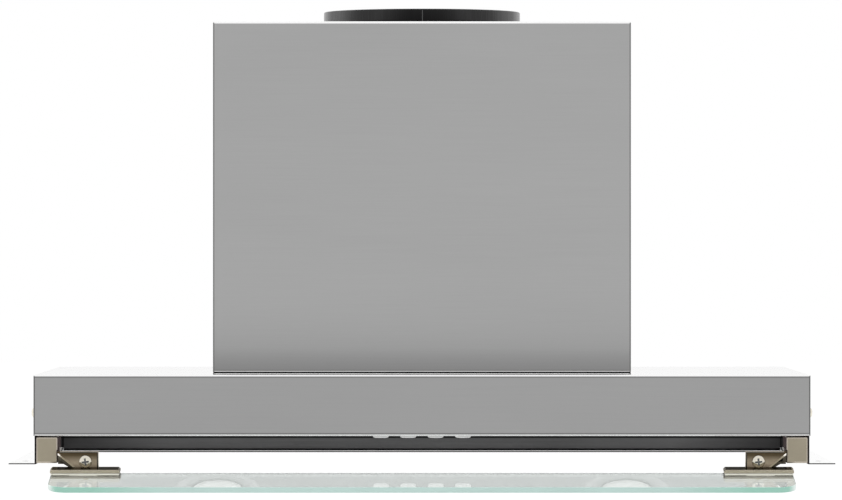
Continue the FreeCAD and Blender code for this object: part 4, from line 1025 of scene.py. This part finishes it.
class HOOD_OT_walls(bpy.types.Operator):
    """Build the side walls with their flanges, the back wall and the seals in its corners"""

    bl_idname = "hood.walls"
    bl_label = "Walls"

    def execute(self, context):
        low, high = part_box("back_wall")
        finishes = ["wall_steel", "side_lining", "flange_steel", "cut_edge"]
        for side, name in SIDES:
            node = f"{name}_side_wall"
            bm = merged_copy(node)
            mark_round(bm)
            # Inner faces take the dark side finish and the front ends the near-black edge finish: painted shade.
            for face in bm.faces:
                if face.normal.x * side < -0.5:
                    face.material_index = finishes.index("side_lining")
                elif abs(face.normal.z) > 0.5 and face.calc_center_median().z < 1 * MM:
                    face.material_index = finishes.index("flange_steel")
                elif face.normal.y < -0.5:
                    face.material_index = finishes.index("cut_edge")
            ease(bm, 0.2 * MM)
            piece(f"{name}_wall", bm, "hood", finishes, [node])
        self.back(low, high)
        tree = bead_tree(finish_named("seal_black"))
        for side, name in SIDES:
            place = (side * (high.x - 1.6 * MM), high.y - 1.1 * MM)
            ends = {"start": (*place, 0.2 * MM), "end": (*place, 40 * MM)}
            black_bead(f"{name}_corner_seal", tree, **ends, radius=0.42 * MM, waver=0.0, points=12)
        return {"FINISHED"}

    def back(self, low, high):
        """The back wall: a sheet with a dark groove above its pale rolled hem; its inner face, the groove and the
        hem's lower front are painted shade, and the hem's upper front a painted highlight.
        """
        finishes = ["inner_wall", "seal_black", "wall_steel", "dark_bend", "lip_bend"]
        index = finishes.index
        face_y = high.y - 0.8 * MM
        groove, roll, foot = 0.55 * MM, -0.55 * MM, -2.2 * MM
        bm = bmesh.new()
        sheet = block(bm, (low.x, face_y, groove), high, index("wall_steel"))
        sheet[2].material_index = index("inner_wall")
        block(bm, (low.x, face_y + 0.2 * MM, roll), (high.x, high.y, groove), index("seal_black"))
        hem = [
            (low.y + 0.5 * MM, foot), (high.y, foot), (high.y, roll),
            (low.y + 0.2 * MM, roll), (low.y, roll - 0.2 * MM), (low.y, roll - 0.6 * MM), (low.y, foot + 0.2 * MM),
        ]
        rolled = prism(bm, hem, low.x, high.x, "X", index("wall_steel"))
        coat(rolled[5:7], index("lip_bend"))
        coat(rolled[7:], index("dark_bend"))
        piece("rear_wall", bm, "hood", finishes, ["back_wall"])


class HOOD_OT_lamps(bpy.types.Operator):
    """Build the underside panel and the lamps' turned rings and lenses"""

    bl_idname = "hood.lamps"
    bl_label = "Lamps"

    def execute(self, context):
        # Faces that point down take the dark underside steel: painted shade.
        below = lambda face: face.normal.z < -0.5
        eased_node("lamp_panel", "hood", "brushed_canopy", 0.2 * MM, "underside_panel", "underside_steel", below)
        low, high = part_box("lamp_panel")
        panel, margin = low.z, 16 * MM
        bm = bmesh.new()
        # The bead's pale steel against the dark underside is a painted highlight.
        fold = [(-87, 0), (-86, -0.3), (-84, -0.3), (-83, 0)]
        prism(bm, [(y * MM, panel + z * MM) for y, z in fold], low.x + margin, high.x - margin, "X")
        piece("panel_bead", bm, "hood", ["hem_steel"])
        rings = bmesh.new()
        lenses = bmesh.new()
        ring = (
            (18.35, 0.8), (18.35, -0.45), (18.7, -0.65), (19.5, -0.75), (22, -0.75), (27, -0.62),
            (29.6, -0.5), (30.7, -0.36), (31, -0.2), (31, 0), (25.8, 0), (25.8, 0.8),
        )
        for low, high in islands("lamp_bezels"):
            centre = (*middle(low, high)[:2], panel)
            turned(rings, [(radius * MM, level * MM) for radius, level in ring], centre)
        for low, high in islands("lamp_lenses"):
            centre = (*middle(low, high)[:2], high.z)
            outer = (high.x - low.x) / 2
            depth = high.z - low.z
            steps = [n * math.pi / 16 for n in range(9)]
            dome = [(outer * math.sin(a), -depth * (0.55 + 0.45 * math.cos(a))) for a in steps]
            turned(lenses, dome + [(outer, 0), (0, 0)], centre, 72, closed=False)
        piece("lamp_rings", rings, "hood", ["ring_metal"], ["lamp_bezels"])
        piece("lamp_domes", lenses, "hood", ["frosted_lens"], ["lamp_lenses"])
        return {"FINISHED"}


def rounded_square(half, radius, steps=6):
    """The outline of a square with rounded corners, counter-clockwise."""
    inner = half - radius
    outline = []
    for quarter, (x, y) in enumerate(((inner, inner), (-inner, inner), (-inner, -inner), (inner, -inner))):
        for n in range(steps + 1):
            angle = math.radians(90 * (quarter + n / steps))
            outline.append((x + radius * math.cos(angle), y + radius * math.sin(angle)))
    return outline


class HOOD_OT_buttons(bpy.types.Operator):
    """Build the four domed push buttons"""

    bl_idname = "hood.buttons"
    bl_label = "Push buttons"

    def execute(self, context):
        half, corner, skirt = 5.8 * MM, 3 * MM, 1.4 * MM
        levels = ((0.35, 0.0), (0.7, 0.12), (0.88, 0.34), (0.97, 0.75), (1.0, 1.35), (1.0, 4.5))
        for n in range(1, 5):
            node = f"button_{n}"
            low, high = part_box(node)
            x, y, _ = middle(low, high)
            bm = bmesh.new()
            rings = []
            for share, rise in levels:
                outline = rounded_square(half * share, corner * share)
                rings.append([bm.verts.new((x + a, y + b, low.z + rise * MM)) for a, b in outline])
            bm.faces.new(rings[0][::-1])
            bm.faces.new(rings[-1])
            for pair in zip(rings, rings[1:]):
                for face in band(bm, *pair):
                    face.smooth = True
            block(bm, (low.x, low.y, high.z - skirt), high)
            piece(f"push_button_{n}", bm, f"button_body_{n}", ["key_white"], [node])
        return {"FINISHED"}


def chamfered(low, high, cut):
    """A box outline in pairs whose two upper corners are cut off."""
    (x0, z0), (x1, z1) = low, high
    return [(x0, z0), (x1, z0), (x1, z1 - cut), (x1 - cut, z1), (x0 + cut, z1), (x0, z1 - cut)]


def on_side(outline, side):
    """An outline in millimetres, in metres on one side of the hood."""
    return [(side * x * MM, z * MM) for x, z in outline]


def rectangle(inner, bottom, outer, top):
    """The outline of a rectangle in pairs."""
    return [(inner, bottom), (outer, bottom), (outer, top), (inner, top)]


def plate_angle(outer, inner):
    """The outline of an angle along the inner and upper edges of an arm's plate, from one inset to another."""
    return [
        (PLATE_INNER + outer, PLATE_FOOT), (PLATE_INNER + inner, PLATE_FOOT), (PLATE_INNER + inner, PLATE_TOP - inner),
        (RAIL_END, PLATE_TOP - inner), (RAIL_END, PLATE_TOP - outer), (PLATE_INNER + outer, PLATE_TOP - outer),
    ]


def bar(bm, outline, side, front, back, material=0):
    """Add a part of the visor's holders: an outline drawn out from front to back, all in millimetres."""
    return prism(bm, on_side(outline, side), front * MM, back * MM, "Y", material)


def hang(bm):
    """Bring a mesh from the visor's own lengths to where it hangs."""
    bmesh.ops.transform(bm, matrix=HANG, verts=bm.verts)


class HOOD_OT_hinges(bpy.types.Operator):
    """Build the hinge blocks, the bent arms and the hinge pins"""

    bl_idname = "hood.hinges"
    bl_label = "Hinges"

    def execute(self, context):
        sizes = context.scene.hood_sizes
        finishes = ["hinge_nickel", "nickel_edge", "side_lining"]
        for side, name in SIDES:
            node = f"{name}_hinge_block"
            bm = bmesh.new()
            block(bm, *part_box(node))
            # Rounded edges take the paler nickel, a painted highlight, and inner faces the dark side finish, painted
            # shade.
            ease(bm, sizes.block_round, 4, finishes.index("nickel_edge"))
            inner = [face for face in bm.faces if face.normal.x * side < -0.7]
            coat(inner, finishes.index("side_lining"))
            piece(f"{name}_corner_block", bm, "hood", finishes, [node])
            self.arm(name, side, sizes.arm_rim / MM)
        eased_node("hinge_pins", "visor", "satin_nickel", 0.3 * MM, "pivot_pins", "pin_bright", lambda face: True)
        return {"FINISHED"}

    def arm(self, name, side, rim):
        """An arm: a cheek with an eye, and a plate across it with a raised rim and a slanted corner."""
        finishes = ["arm_nickel", "nickel_edge", "polished_bevel", "dark_bend", "nickel_shade", "seal_black"]
        index = finishes.index
        node = f"{name}_visor_arm"
        cheek = merged_copy(node)
        mark_round(cheek)
        plane = HANG @ Vector((0, PLATE_BACK * MM, 0))
        away = HANG.to_3x3() @ Vector((0, -1, 0))
        geometry = [*cheek.verts, *cheek.edges, *cheek.faces]
        cut = bmesh.ops.bisect_plane(cheek, geom=geometry, plane_co=plane, plane_no=away, clear_outer=True)
        bmesh.ops.holes_fill(cheek, edges=[part for part in cut["geom_cut"] if isinstance(part, bmesh.types.BMEdge)])
        ease(cheek, 0.25 * MM)
        # The eye's upper faces take the near-white bevel finish, a painted highlight, and the rest the darker nickel,
        # painted shade.
        for face in cheek.faces:
            upper = face.calc_center_median().z > AXLE.z + 1.5 * MM
            face.material_index = index("polished_bevel" if upper else "nickel_shade")
        plate = bmesh.new()
        bar(plate, rectangle(257.2, -6, 263, 2), side, PLATE_BACK, -7, index("nickel_shade"))
        outline = [
            (PLATE_INNER, PLATE_FOOT), (252.7, PLATE_FOOT), (PLATE_OUTER, 0.2),
            (PLATE_OUTER, PLATE_TOP), (PLATE_INNER, PLATE_TOP),
        ]
        slant = bar(plate, outline, side, PLATE_FRONT, PLATE_BACK)[3]
        slant.material_index = index("polished_bevel")
        foremost = lambda edge: slant in edge.link_faces and all(vert.co.y < -14 * MM for vert in edge.verts)
        ease(plate, 2.2 * MM, 2, index("polished_bevel"), foremost)
        # The rim takes the paler nickel, a painted highlight; its inner sides and the black strip below it are painted
        # shade.
        rails = bar(plate, plate_angle(0, rim), side, -15.3, -14.75, index("nickel_edge"))
        coat(rails[3:5], index("dark_bend"))
        bar(plate, plate_angle(rim, rim + 0.8), side, -14.84, -14.6, index("seal_black"))
        hang(plate)
        bmesh.ops.recalc_face_normals(plate, faces=plate.faces)
        mesh = to_mesh(plate, "plate")
        cheek.from_mesh(mesh)
        bpy.data.meshes.remove(mesh)
        piece(f"{name}_bent_arm", cheek, "visor", finishes, [node])


class HOOD_OT_clamps(bpy.types.Operator):
    """Build the clamps that hold the glass, and their rubber pads"""

    bl_idname = "hood.clamps"
    bl_label = "Glass clamps"

    def execute(self, context):
        sizes = context.scene.hood_sizes
        lower = bmesh.new()
        pads = bmesh.new()
        foot = [
            (CLAMP_FRONT, CLAMP_SPLIT), (CLAMP_BACK, CLAMP_SPLIT), (CLAMP_BACK, CLAMP_FOOT),
            (-13.6, CLAMP_FOOT), (CLAMP_FRONT, -17.75),
        ]
        strips = (
            rectangle(219, STEP_LOW, 233.7, STEP_HIGH),
            rectangle(254.8, STEP_LOW, 267, STEP_HIGH),
            rectangle(219, CLAMP_SPLIT, 267, GLASS_BOTTOM),
        )
        for side, name in SIDES:
            self.upper(name, side)
            ends = sorted((side * CLAMP_INNER * MM, side * CLAMP_OUTER * MM))
            prism(lower, [(y * MM, z * MM) for y, z in foot], *ends, "X")
            for strip in strips:
                bar(pads, strip, side, -24.2, -13.6)
        finishes = ["hinge_nickel", "nickel_edge"]
        # Eased edges take the paler nickel: a painted highlight.
        ease(lower, sizes.eased, 2, finishes.index("nickel_edge"))
        ease(pads, 0.1 * MM)
        hang(lower)
        hang(pads)
        piece("lower_clamps", lower, "visor", finishes, ["lower_clamp_jaws"])
        piece("pad_strips", pads, "visor", ["pad_rubber"], ["clamp_pads"])
        return {"FINISHED"}

    def upper(self, name, side):
        """A clamp's upper half: a jaw, a stepped layer under it with a black line between, and the spine; the jaw's
        lighter nickel and the step's pale colour are painted highlight, and the jaw's top and the black line painted
        shade.
        """
        finishes = ["jaw_front", "nickel_edge", "seal_black", "jaw_bright", "jaw_top"]
        index = finishes.index
        bm = bmesh.new()
        outline = chamfered((CLAMP_INNER, JAW_SEAM), (CLAMP_OUTER, JAW_TOP), 1.2)
        jaw = bar(bm, outline, side, CLAMP_FRONT, PLATE_BACK)
        jaw[5].material_index = index("jaw_top")
        steps = [
            (218.3, -10.62), (218.3, STEP_HIGH), (233.9, STEP_HIGH), (233.9, STEP_LOW), (254.6, STEP_LOW),
            (254.6, STEP_HIGH), (267.7, STEP_HIGH), (267.7, -10.62),
        ]
        bar(bm, steps, side, -24.9, PLATE_BACK, index("jaw_bright"))
        bar(bm, rectangle(220, -11, 266, -10.4), side, -24.4, -14, index("seal_black"))
        bar(bm, rectangle(235.6, CLAMP_SPLIT, 250.6, -0.5), side, PLATE_BACK, CLAMP_BACK)
        ease(bm, 0.3 * MM, 2, index("nickel_edge"))
        hang(bm)
        piece(f"{name}_upper_clamp", bm, "visor", finishes, [f"{name}_clamp_jaw"])


class HOOD_OT_visor(bpy.types.Operator):
    """Build the glass visor with its green polished edge"""

    bl_idname = "hood.visor"
    bl_label = "Glass visor"

    def execute(self, context):
        sizes = context.scene.hood_sizes
        finishes = ["pane_glass", "pane_edge"]
        half, radius = 268 * MM, 14 * MM
        rear, front = -13.4 * MM, -67.4 * MM
        quarter = 12
        outline = [(half, rear), (-half, rear)]
        for centre_x, start in ((-half + radius, 180), (half - radius, 270)):
            for n in range(quarter + 1):
                angle = math.radians(start + 90 * n / quarter)
                outline.append((centre_x + radius * math.cos(angle), front + radius + radius * math.sin(angle)))
        bm = bmesh.new()
        faces = prism(bm, outline, GLASS_BOTTOM * MM, GLASS_TOP * MM, "Z")
        for face in faces[2:]:
            face.smooth = True
        flats = set(faces[:2])
        ease(bm, sizes.glass_arris, 2, -1, lambda edge: any(face in flats for face in edge.link_faces))
        for face in bm.faces:
            if face.smooth and face.calc_center_median().y <= rear - 0.6 * MM:
                face.material_index = finishes.index("pane_edge")
        hang(bm)
        piece("visor_pane", bm, "visor", finishes, ["visor_glass"])
        return {"FINISHED"}


class HOOD_OT_filters(bpy.types.Operator):
    """Build the grease filters: rounded frames, expanded mesh and latches"""

    bl_idname = "hood.filters"
    bl_label = "Grease filters"

    def execute(self, context):
        sizes = context.scene.hood_sizes
        width, depth = sizes.mesh_cell, sizes.mesh_cell / 2
        sheet, layer_rise, lowest = 0.7 * MM, 1.9 * MM, 0.8 * MM
        cell = loose("mesh_cell", diamond(width, depth, sizes.mesh_strand, sheet))
        tree = mesh_tree(finish_named("filter_alloy"))
        for _, name in SIDES:
            body = f"{name}_filter"
            eased_node(f"{name}_filter_frame", body, "filter_aluminium", sizes.eased, f"{name}_frame")
            eased_node(f"{name}_filter_latch", f"{name}_latch", "dark_plastic", sizes.eased, f"{name}_pull_latch")
            node = f"{name}_filter_mesh"
            low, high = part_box(node)
            x, y, _ = middle(low, high)
            columns = int((high.x - low.x) / width)
            rows = int((high.y - low.y) / depth)
            values = {
                "Cell": cell,
                "Width": (columns - 1) * width,
                "Depth": (rows - 1) * depth,
                "Columns": columns,
                "Rows": rows,
                "Stagger": (width / 2, depth / 2, 0),
                "Layer": (width / 4, depth / 4, layer_rise),
                "Centre": (x - width * 3 / 8, y - depth * 3 / 8, low.z + lowest),
            }
            net = grown(f"{name}_net", tree, values)
            piece(f"{name}_grease_mesh", net, body, ["filter_alloy"], [node])
        bpy.data.objects.remove(cell)
        eased_node("filter_supports", "hood", "dark_plastic", 0.3 * MM, "hem_seats")
        return {"FINISHED"}


class HOOD_OT_motor_box(bpy.types.Operator):
    """Build the motor box: its folded wrap, lid, rear cover, gland plate and gland"""

    bl_idname = "hood.motor_box"
    bl_label = "Motor box"

    def execute(self, context):
        sizes = context.scene.hood_sizes
        finishes = ["shell_steel", "foot_crease", "foot_hem", "bright_bend"]
        low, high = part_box("motor_box_wrap")
        raised = low.z + 0.55 * MM
        foot = ((low.x, high.y, low.z), (low.x, low.y, raised), (high.x, low.y, raised), (high.x, high.y, low.z))
        bm = bmesh.new()
        rows = [[bm.verts.new(spot) for spot in foot]]
        for level in (raised + 0.6 * MM, raised + 1.3 * MM, high.z - 0.6 * MM, high.z):
            rows.append([bm.verts.new((spot[0], spot[1], level)) for spot in foot])
        # The front's bands: a pale foot, a painted highlight; a dark crease, painted shade; plain steel; and a
        # near-white top, a painted highlight.
        fronts = ("foot_hem", "foot_crease", "shell_steel", "bright_bend")
        for front, (lower, upper) in zip(fronts, zip(rows, rows[1:])):
            for n, finish in enumerate(("shell_steel", front, "shell_steel")):
                face = bm.faces.new((lower[n], lower[n + 1], upper[n + 1], upper[n]))
                face.material_index = finishes.index(finish)
        # The upright bends take the dark crease finish: painted shade.
        ease(bm, sizes.bend, 4, finishes.index("foot_crease"))
        mesh = thickened("motor_box_shell", bm, sizes.sheet)
        piece("motor_box_shell", mesh, "hood", finishes, ["motor_box_wrap"])
        # The lid's edges and the hem along its front take the near-white bend finish: a painted highlight.
        rim = lambda face: abs(face.normal.z) < 0.5
        eased_node("motor_box_top", "hood", "brushed_box", 0.25 * MM, "motor_box_lid", "bright_bend", rim)
        lid_low, lid_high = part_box("motor_box_top")
        margin = 0.3 * MM
        fold = [(0, -0.1), (0, 0.05), (0.1, 0.15), (0.9, 0.15), (1.0, 0.05), (1.0, -0.1)]
        bm = bmesh.new()
        outline = [(lid_low.y + y * MM, lid_high.z + z * MM) for y, z in fold]
        prism(bm, outline, lid_low.x + margin, lid_high.x - margin, "X")
        piece("lid_hem", bm, "hood", ["bright_bend"])
        eased_node("motor_box_back", "hood", "brushed_box", 0.25 * MM, "motor_box_rear")
        eased_node("gland_plate", "hood", "brushed_box", 0.25 * MM, "cable_plate")
        eased_node("mains_gland", "hood", "dark_plastic", 0.4 * MM, "cable_gland")
        # The black bead along the box's front foot is painted shade: the shadow line under the box.
        place = (low.y - 0.1 * MM, low.z)
        ends = {"start": (low.x + margin, *place), "end": (high.x - margin, *place)}
        tree = bead_tree(finish_named("seal_black"))
        black_bead("shadow_seal", tree, **ends, radius=sizes.seal, waver=0.06 * MM, points=220)
        return {"FINISHED"}


class HOOD_OT_collar(bpy.types.Operator):
    """Build the duct collar, its parting line and the non-return flaps"""

    bl_idname = "hood.collar"
    bl_label = "Duct collar"

    def execute(self, context):
        low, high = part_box("duct_collar")
        x, y, _ = middle(low, high)
        outer = (high.x - low.x) / 2
        inner = outer - 3 * MM
        throat = inner - 3.5 * MM
        neck = outer - 1.5 * MM
        tall = high.z - low.z
        step = 2.8 * MM
        ledge = step + 3 * MM
        bm = bmesh.new()
        profile = [
            (throat, 0),
            (neck, 0),
            (neck, step),
            (outer, step),
            (outer, tall - 0.9 * MM),
            (outer - 0.25 * MM, tall - 0.3 * MM),
            (outer - 0.8 * MM, tall),
            (inner + 0.8 * MM, tall),
            (inner + 0.2 * MM, tall - 0.3 * MM),
            (inner, tall - 0.9 * MM),
            (inner, ledge),
            (throat + 0.3 * MM, ledge),
            (throat, ledge - 0.3 * MM),
        ]
        turned(bm, profile, (x, y, low.z), 160)
        mesh = to_mesh(bm, "outlet_collar", 30)
        piece("outlet_collar", mesh, "hood", ["collar_black"], ["duct_collar"])
        bm = bmesh.new()
        front = y - outer
        bottom, top = low.z + step + 0.4 * MM, high.z - 1.0 * MM
        block(bm, (0.1 * MM, front - 0.12 * MM, bottom), (0.6 * MM, front + 0.6 * MM, top))
        ease(bm, 0.1 * MM)
        piece("collar_seam", bm, "hood", ["parting_line"])
        for name in ("front", "rear"):
            eased_node(f"{name}_damper_flap", f"{name}_flap", "flap_plastic", 0.25 * MM, f"{name}_flap_leaf")
        return {"FINISHED"}


class HOOD_OT_screws(bpy.types.Operator):
    """Set the cross-recessed screw heads"""

    bl_idname = "hood.screws"
    bl_label = "Screws"

    def execute(self, context):
        sizes = context.scene.hood_sizes
        head = cross_head(sizes.screw_segments)
        tree = screw_tree(finish_named("screw_bright"))
        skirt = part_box("canopy_cover")[1].x
        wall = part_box("back_wall")[1].x + sizes.sheet
        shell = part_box("motor_box_wrap")[1].x
        on_arm = self.on_visor((SCREW_SIDE, PLATE_FRONT, -3.7), (0, -1, 0))
        on_foot = self.on_visor((SCREW_SIDE, -10.6, CLAMP_FOOT), (0, 0, -1))
        rows = (
            ("skirt_screws", "hood", "cover_screws", self.sideways("cover_screws", skirt), 3.6, 2.6),
            ("rear_cover_screws", "hood", "motor_box_screws", self.sideways("motor_box_screws", shell), 3.6, 1.8),
            ("block_screws", "hood", "hinge_block_screws", self.sideways("hinge_block_screws", wall), 3.0, 0.9),
            ("arm_pan_screws", "visor", "arm_screws", on_arm, 4.7, 2.9),
            ("clamp_foot_screws", "visor", "clamp_screws", on_foot, 2.2, 1.8),
        )
        for seed, (name, body, node, spots, radius, height) in enumerate(rows):
            turn = 0.15 if body == "visor" else math.tau
            values = {"Head": head, "Head Radius": radius * MM, "Head Height": height * MM, "Turn": turn, "Seed": seed}
            piece(name, grown(name, tree, values, aimed_points(spots)), body, ["screw_bright"], [node])
        bpy.data.objects.remove(head)
        return {"FINISHED"}

    def sideways(self, node, seat):
        """Places and directions of screws that stand on side walls."""
        spots = []
        for low, high in islands(node):
            spot = (low + high) / 2
            side = 1 if spot.x > 0 else -1
            spots.append(((side * seat, spot.y, spot.z), (side, 0, 0)))
        return sorted(spots)

    def on_visor(self, spot, facing):
        """Places and directions of the two like screws on the visor."""
        turn = HANG.to_3x3()
        return [(HANG @ (Vector((side * spot[0], spot[1], spot[2])) * MM), turn @ Vector(facing)) for side, _ in SIDES]


class HOOD_OT_stage(bpy.types.Operator):
    """Set up the floor, the light and the camera"""

    bl_idname = "hood.stage"
    bl_label = "Stage"

    def execute(self, context):
        self.floor()
        self.light(context.scene)
        self.camera(context.scene)
        context.scene.view_settings.view_transform = "Standard"
        return {"FINISHED"}

    def seen(self, sheet):
        """One where a camera, glossy or transmission ray looks, and nought elsewhere."""
        path = sheet.node("ShaderNodeLightPath", output="Is Camera Ray")
        return (path + sheet.also(path, "Is Glossy Ray") + sheet.also(path, "Is Transmission Ray")) > 0.5

    def floor(self):
        """A wide sheet of pale paper under the hood, clear when it is seen from below."""
        reach, level = 14.0, -0.20
        bm = bmesh.new()
        bm.faces.new([bm.verts.new((x * reach, y * reach, level)) for x, y in ((-1, -1), (1, -1), (1, 1), (-1, 1))])
        floor = loose("studio_floor", to_mesh(bm, "studio_floor"))
        paper = Finish("studio_paper")
        fibre = paper.noise(3, 3, 0.5)
        matt = paper.node("ShaderNodeBsdfDiffuse", None, {"Color": paper.shaded(grey(0.85), 1 + fibre * 0.02)})
        glow = paper.node("ShaderNodeEmission", None, {"Color": (1, 1, 1, 1), "Strength": 0.38})
        lit = paper.node("ShaderNodeAddShader", None, {0: matt, 1: glow})
        under = paper.node("ShaderNodeNewGeometry", output="Backfacing")
        clear = paper.node("ShaderNodeBsdfTransparent")
        material = paper.ended(paper.mixed(under, paper.mixed(self.seen(paper), matt, lit), clear))
        material.cycles.emission_sampling = "NONE"
        floor.data.materials.append(material)

    def light(self, scene):
        """An even white surround, a softbox overhead and one behind each side."""
        world = bpy.data.worlds.new("studio")
        scene.world = world
        world.use_nodes = True
        world.cycles.sampling_method = "NONE"
        sheet = Sheet(world.node_tree)
        world.node_tree.nodes.clear()
        strength = 0.75 + self.seen(sheet) * 0.25
        glow = sheet.node("ShaderNodeBackground", None, {"Color": (1, 1, 1, 1), "Strength": strength})
        sheet.node("ShaderNodeOutputWorld", None, {"Surface": glow})
        lamps = (
            ("overhead_softbox", (0.0, 0.0, 2.4), (0, 0, 0), 2.8, 2.2, 25),
            ("left_rim_softbox", (-2.4, 0.9, 0.7), (0, 0, 0.15), 1.5, 2.2, 6),
            ("right_rim_softbox", (2.4, 0.9, 0.7), (0, 0, 0.15), 1.5, 2.2, 4),
        )
        for name, place, target, width, height, power in lamps:
            data = bpy.data.lights.new(name, "AREA")
            data.shape = "RECTANGLE"
            data.size = width
            data.size_y = height
            data.energy = power
            lamp = loose(name, data)
            lamp.location = place
            lamp.visible_glossy = name != "overhead_softbox"
            lamp.rotation_euler = (Vector(target) - Vector(place)).to_track_quat("-Z", "Y").to_euler()

    def camera(self, scene):
        """A long lens, level and far in front."""
        data = bpy.data.cameras.new("catalogue_camera")
        data.lens = 251.06
        data.sensor_width = 36
        data.clip_end = 100
        camera = loose("catalogue_camera", data)
        camera.location = (-0.0007, -4.396, 0.1542)
        camera.rotation_euler = (math.radians(90), 0, 0)
        scene.camera = camera


PIECES = (
    HOOD_OT_finishes,
    HOOD_OT_canopy,
    HOOD_OT_walls,
    HOOD_OT_lamps,
    HOOD_OT_buttons,
    HOOD_OT_hinges,
    HOOD_OT_clamps,
    HOOD_OT_visor,
    HOOD_OT_filters,
    HOOD_OT_motor_box,
    HOOD_OT_collar,
    HOOD_OT_screws,
    HOOD_OT_stage,
)


class HOOD_PT_sidebar(bpy.types.Panel):
    """The hood's sizes, colours and pieces."""

    bl_idname = "HOOD_PT_sidebar"
    bl_label = "Range hood"
    bl_space_type = "VIEW_3D"
    bl_region_type = "UI"
    bl_category = "Range hood"

    def draw(self, context):
        """List the sizes, the colours and the pieces."""
        for group in (context.scene.hood_sizes, context.scene.hood_finishes):
            column = self.layout.column()
            for name in group.__annotations__:
                column.prop(group, name)
        for operator in PIECES:
            self.layout.operator(operator.bl_idname)


CLASSES = (HoodSizes, HoodFinishes, *PIECES, HOOD_PT_sidebar)


def register():
    """Add the classes and the scene's properties."""
    for item in CLASSES:
        bpy.utils.register_class(item)
    bpy.types.Scene.hood_sizes = PointerProperty(type=HoodSizes)
    bpy.types.Scene.hood_finishes = PointerProperty(type=HoodFinishes)


def unregister():
    """Take them away again."""
    del bpy.types.Scene.hood_finishes
    del bpy.types.Scene.hood_sizes
    for item in reversed(CLASSES):
        bpy.utils.unregister_class(item)


def main():
    """Build every piece."""
    register()
    for operator in PIECES:
        getattr(bpy.ops.hood, operator.bl_idname.split(".")[1])()


if __name__ == "__main__":
    main()
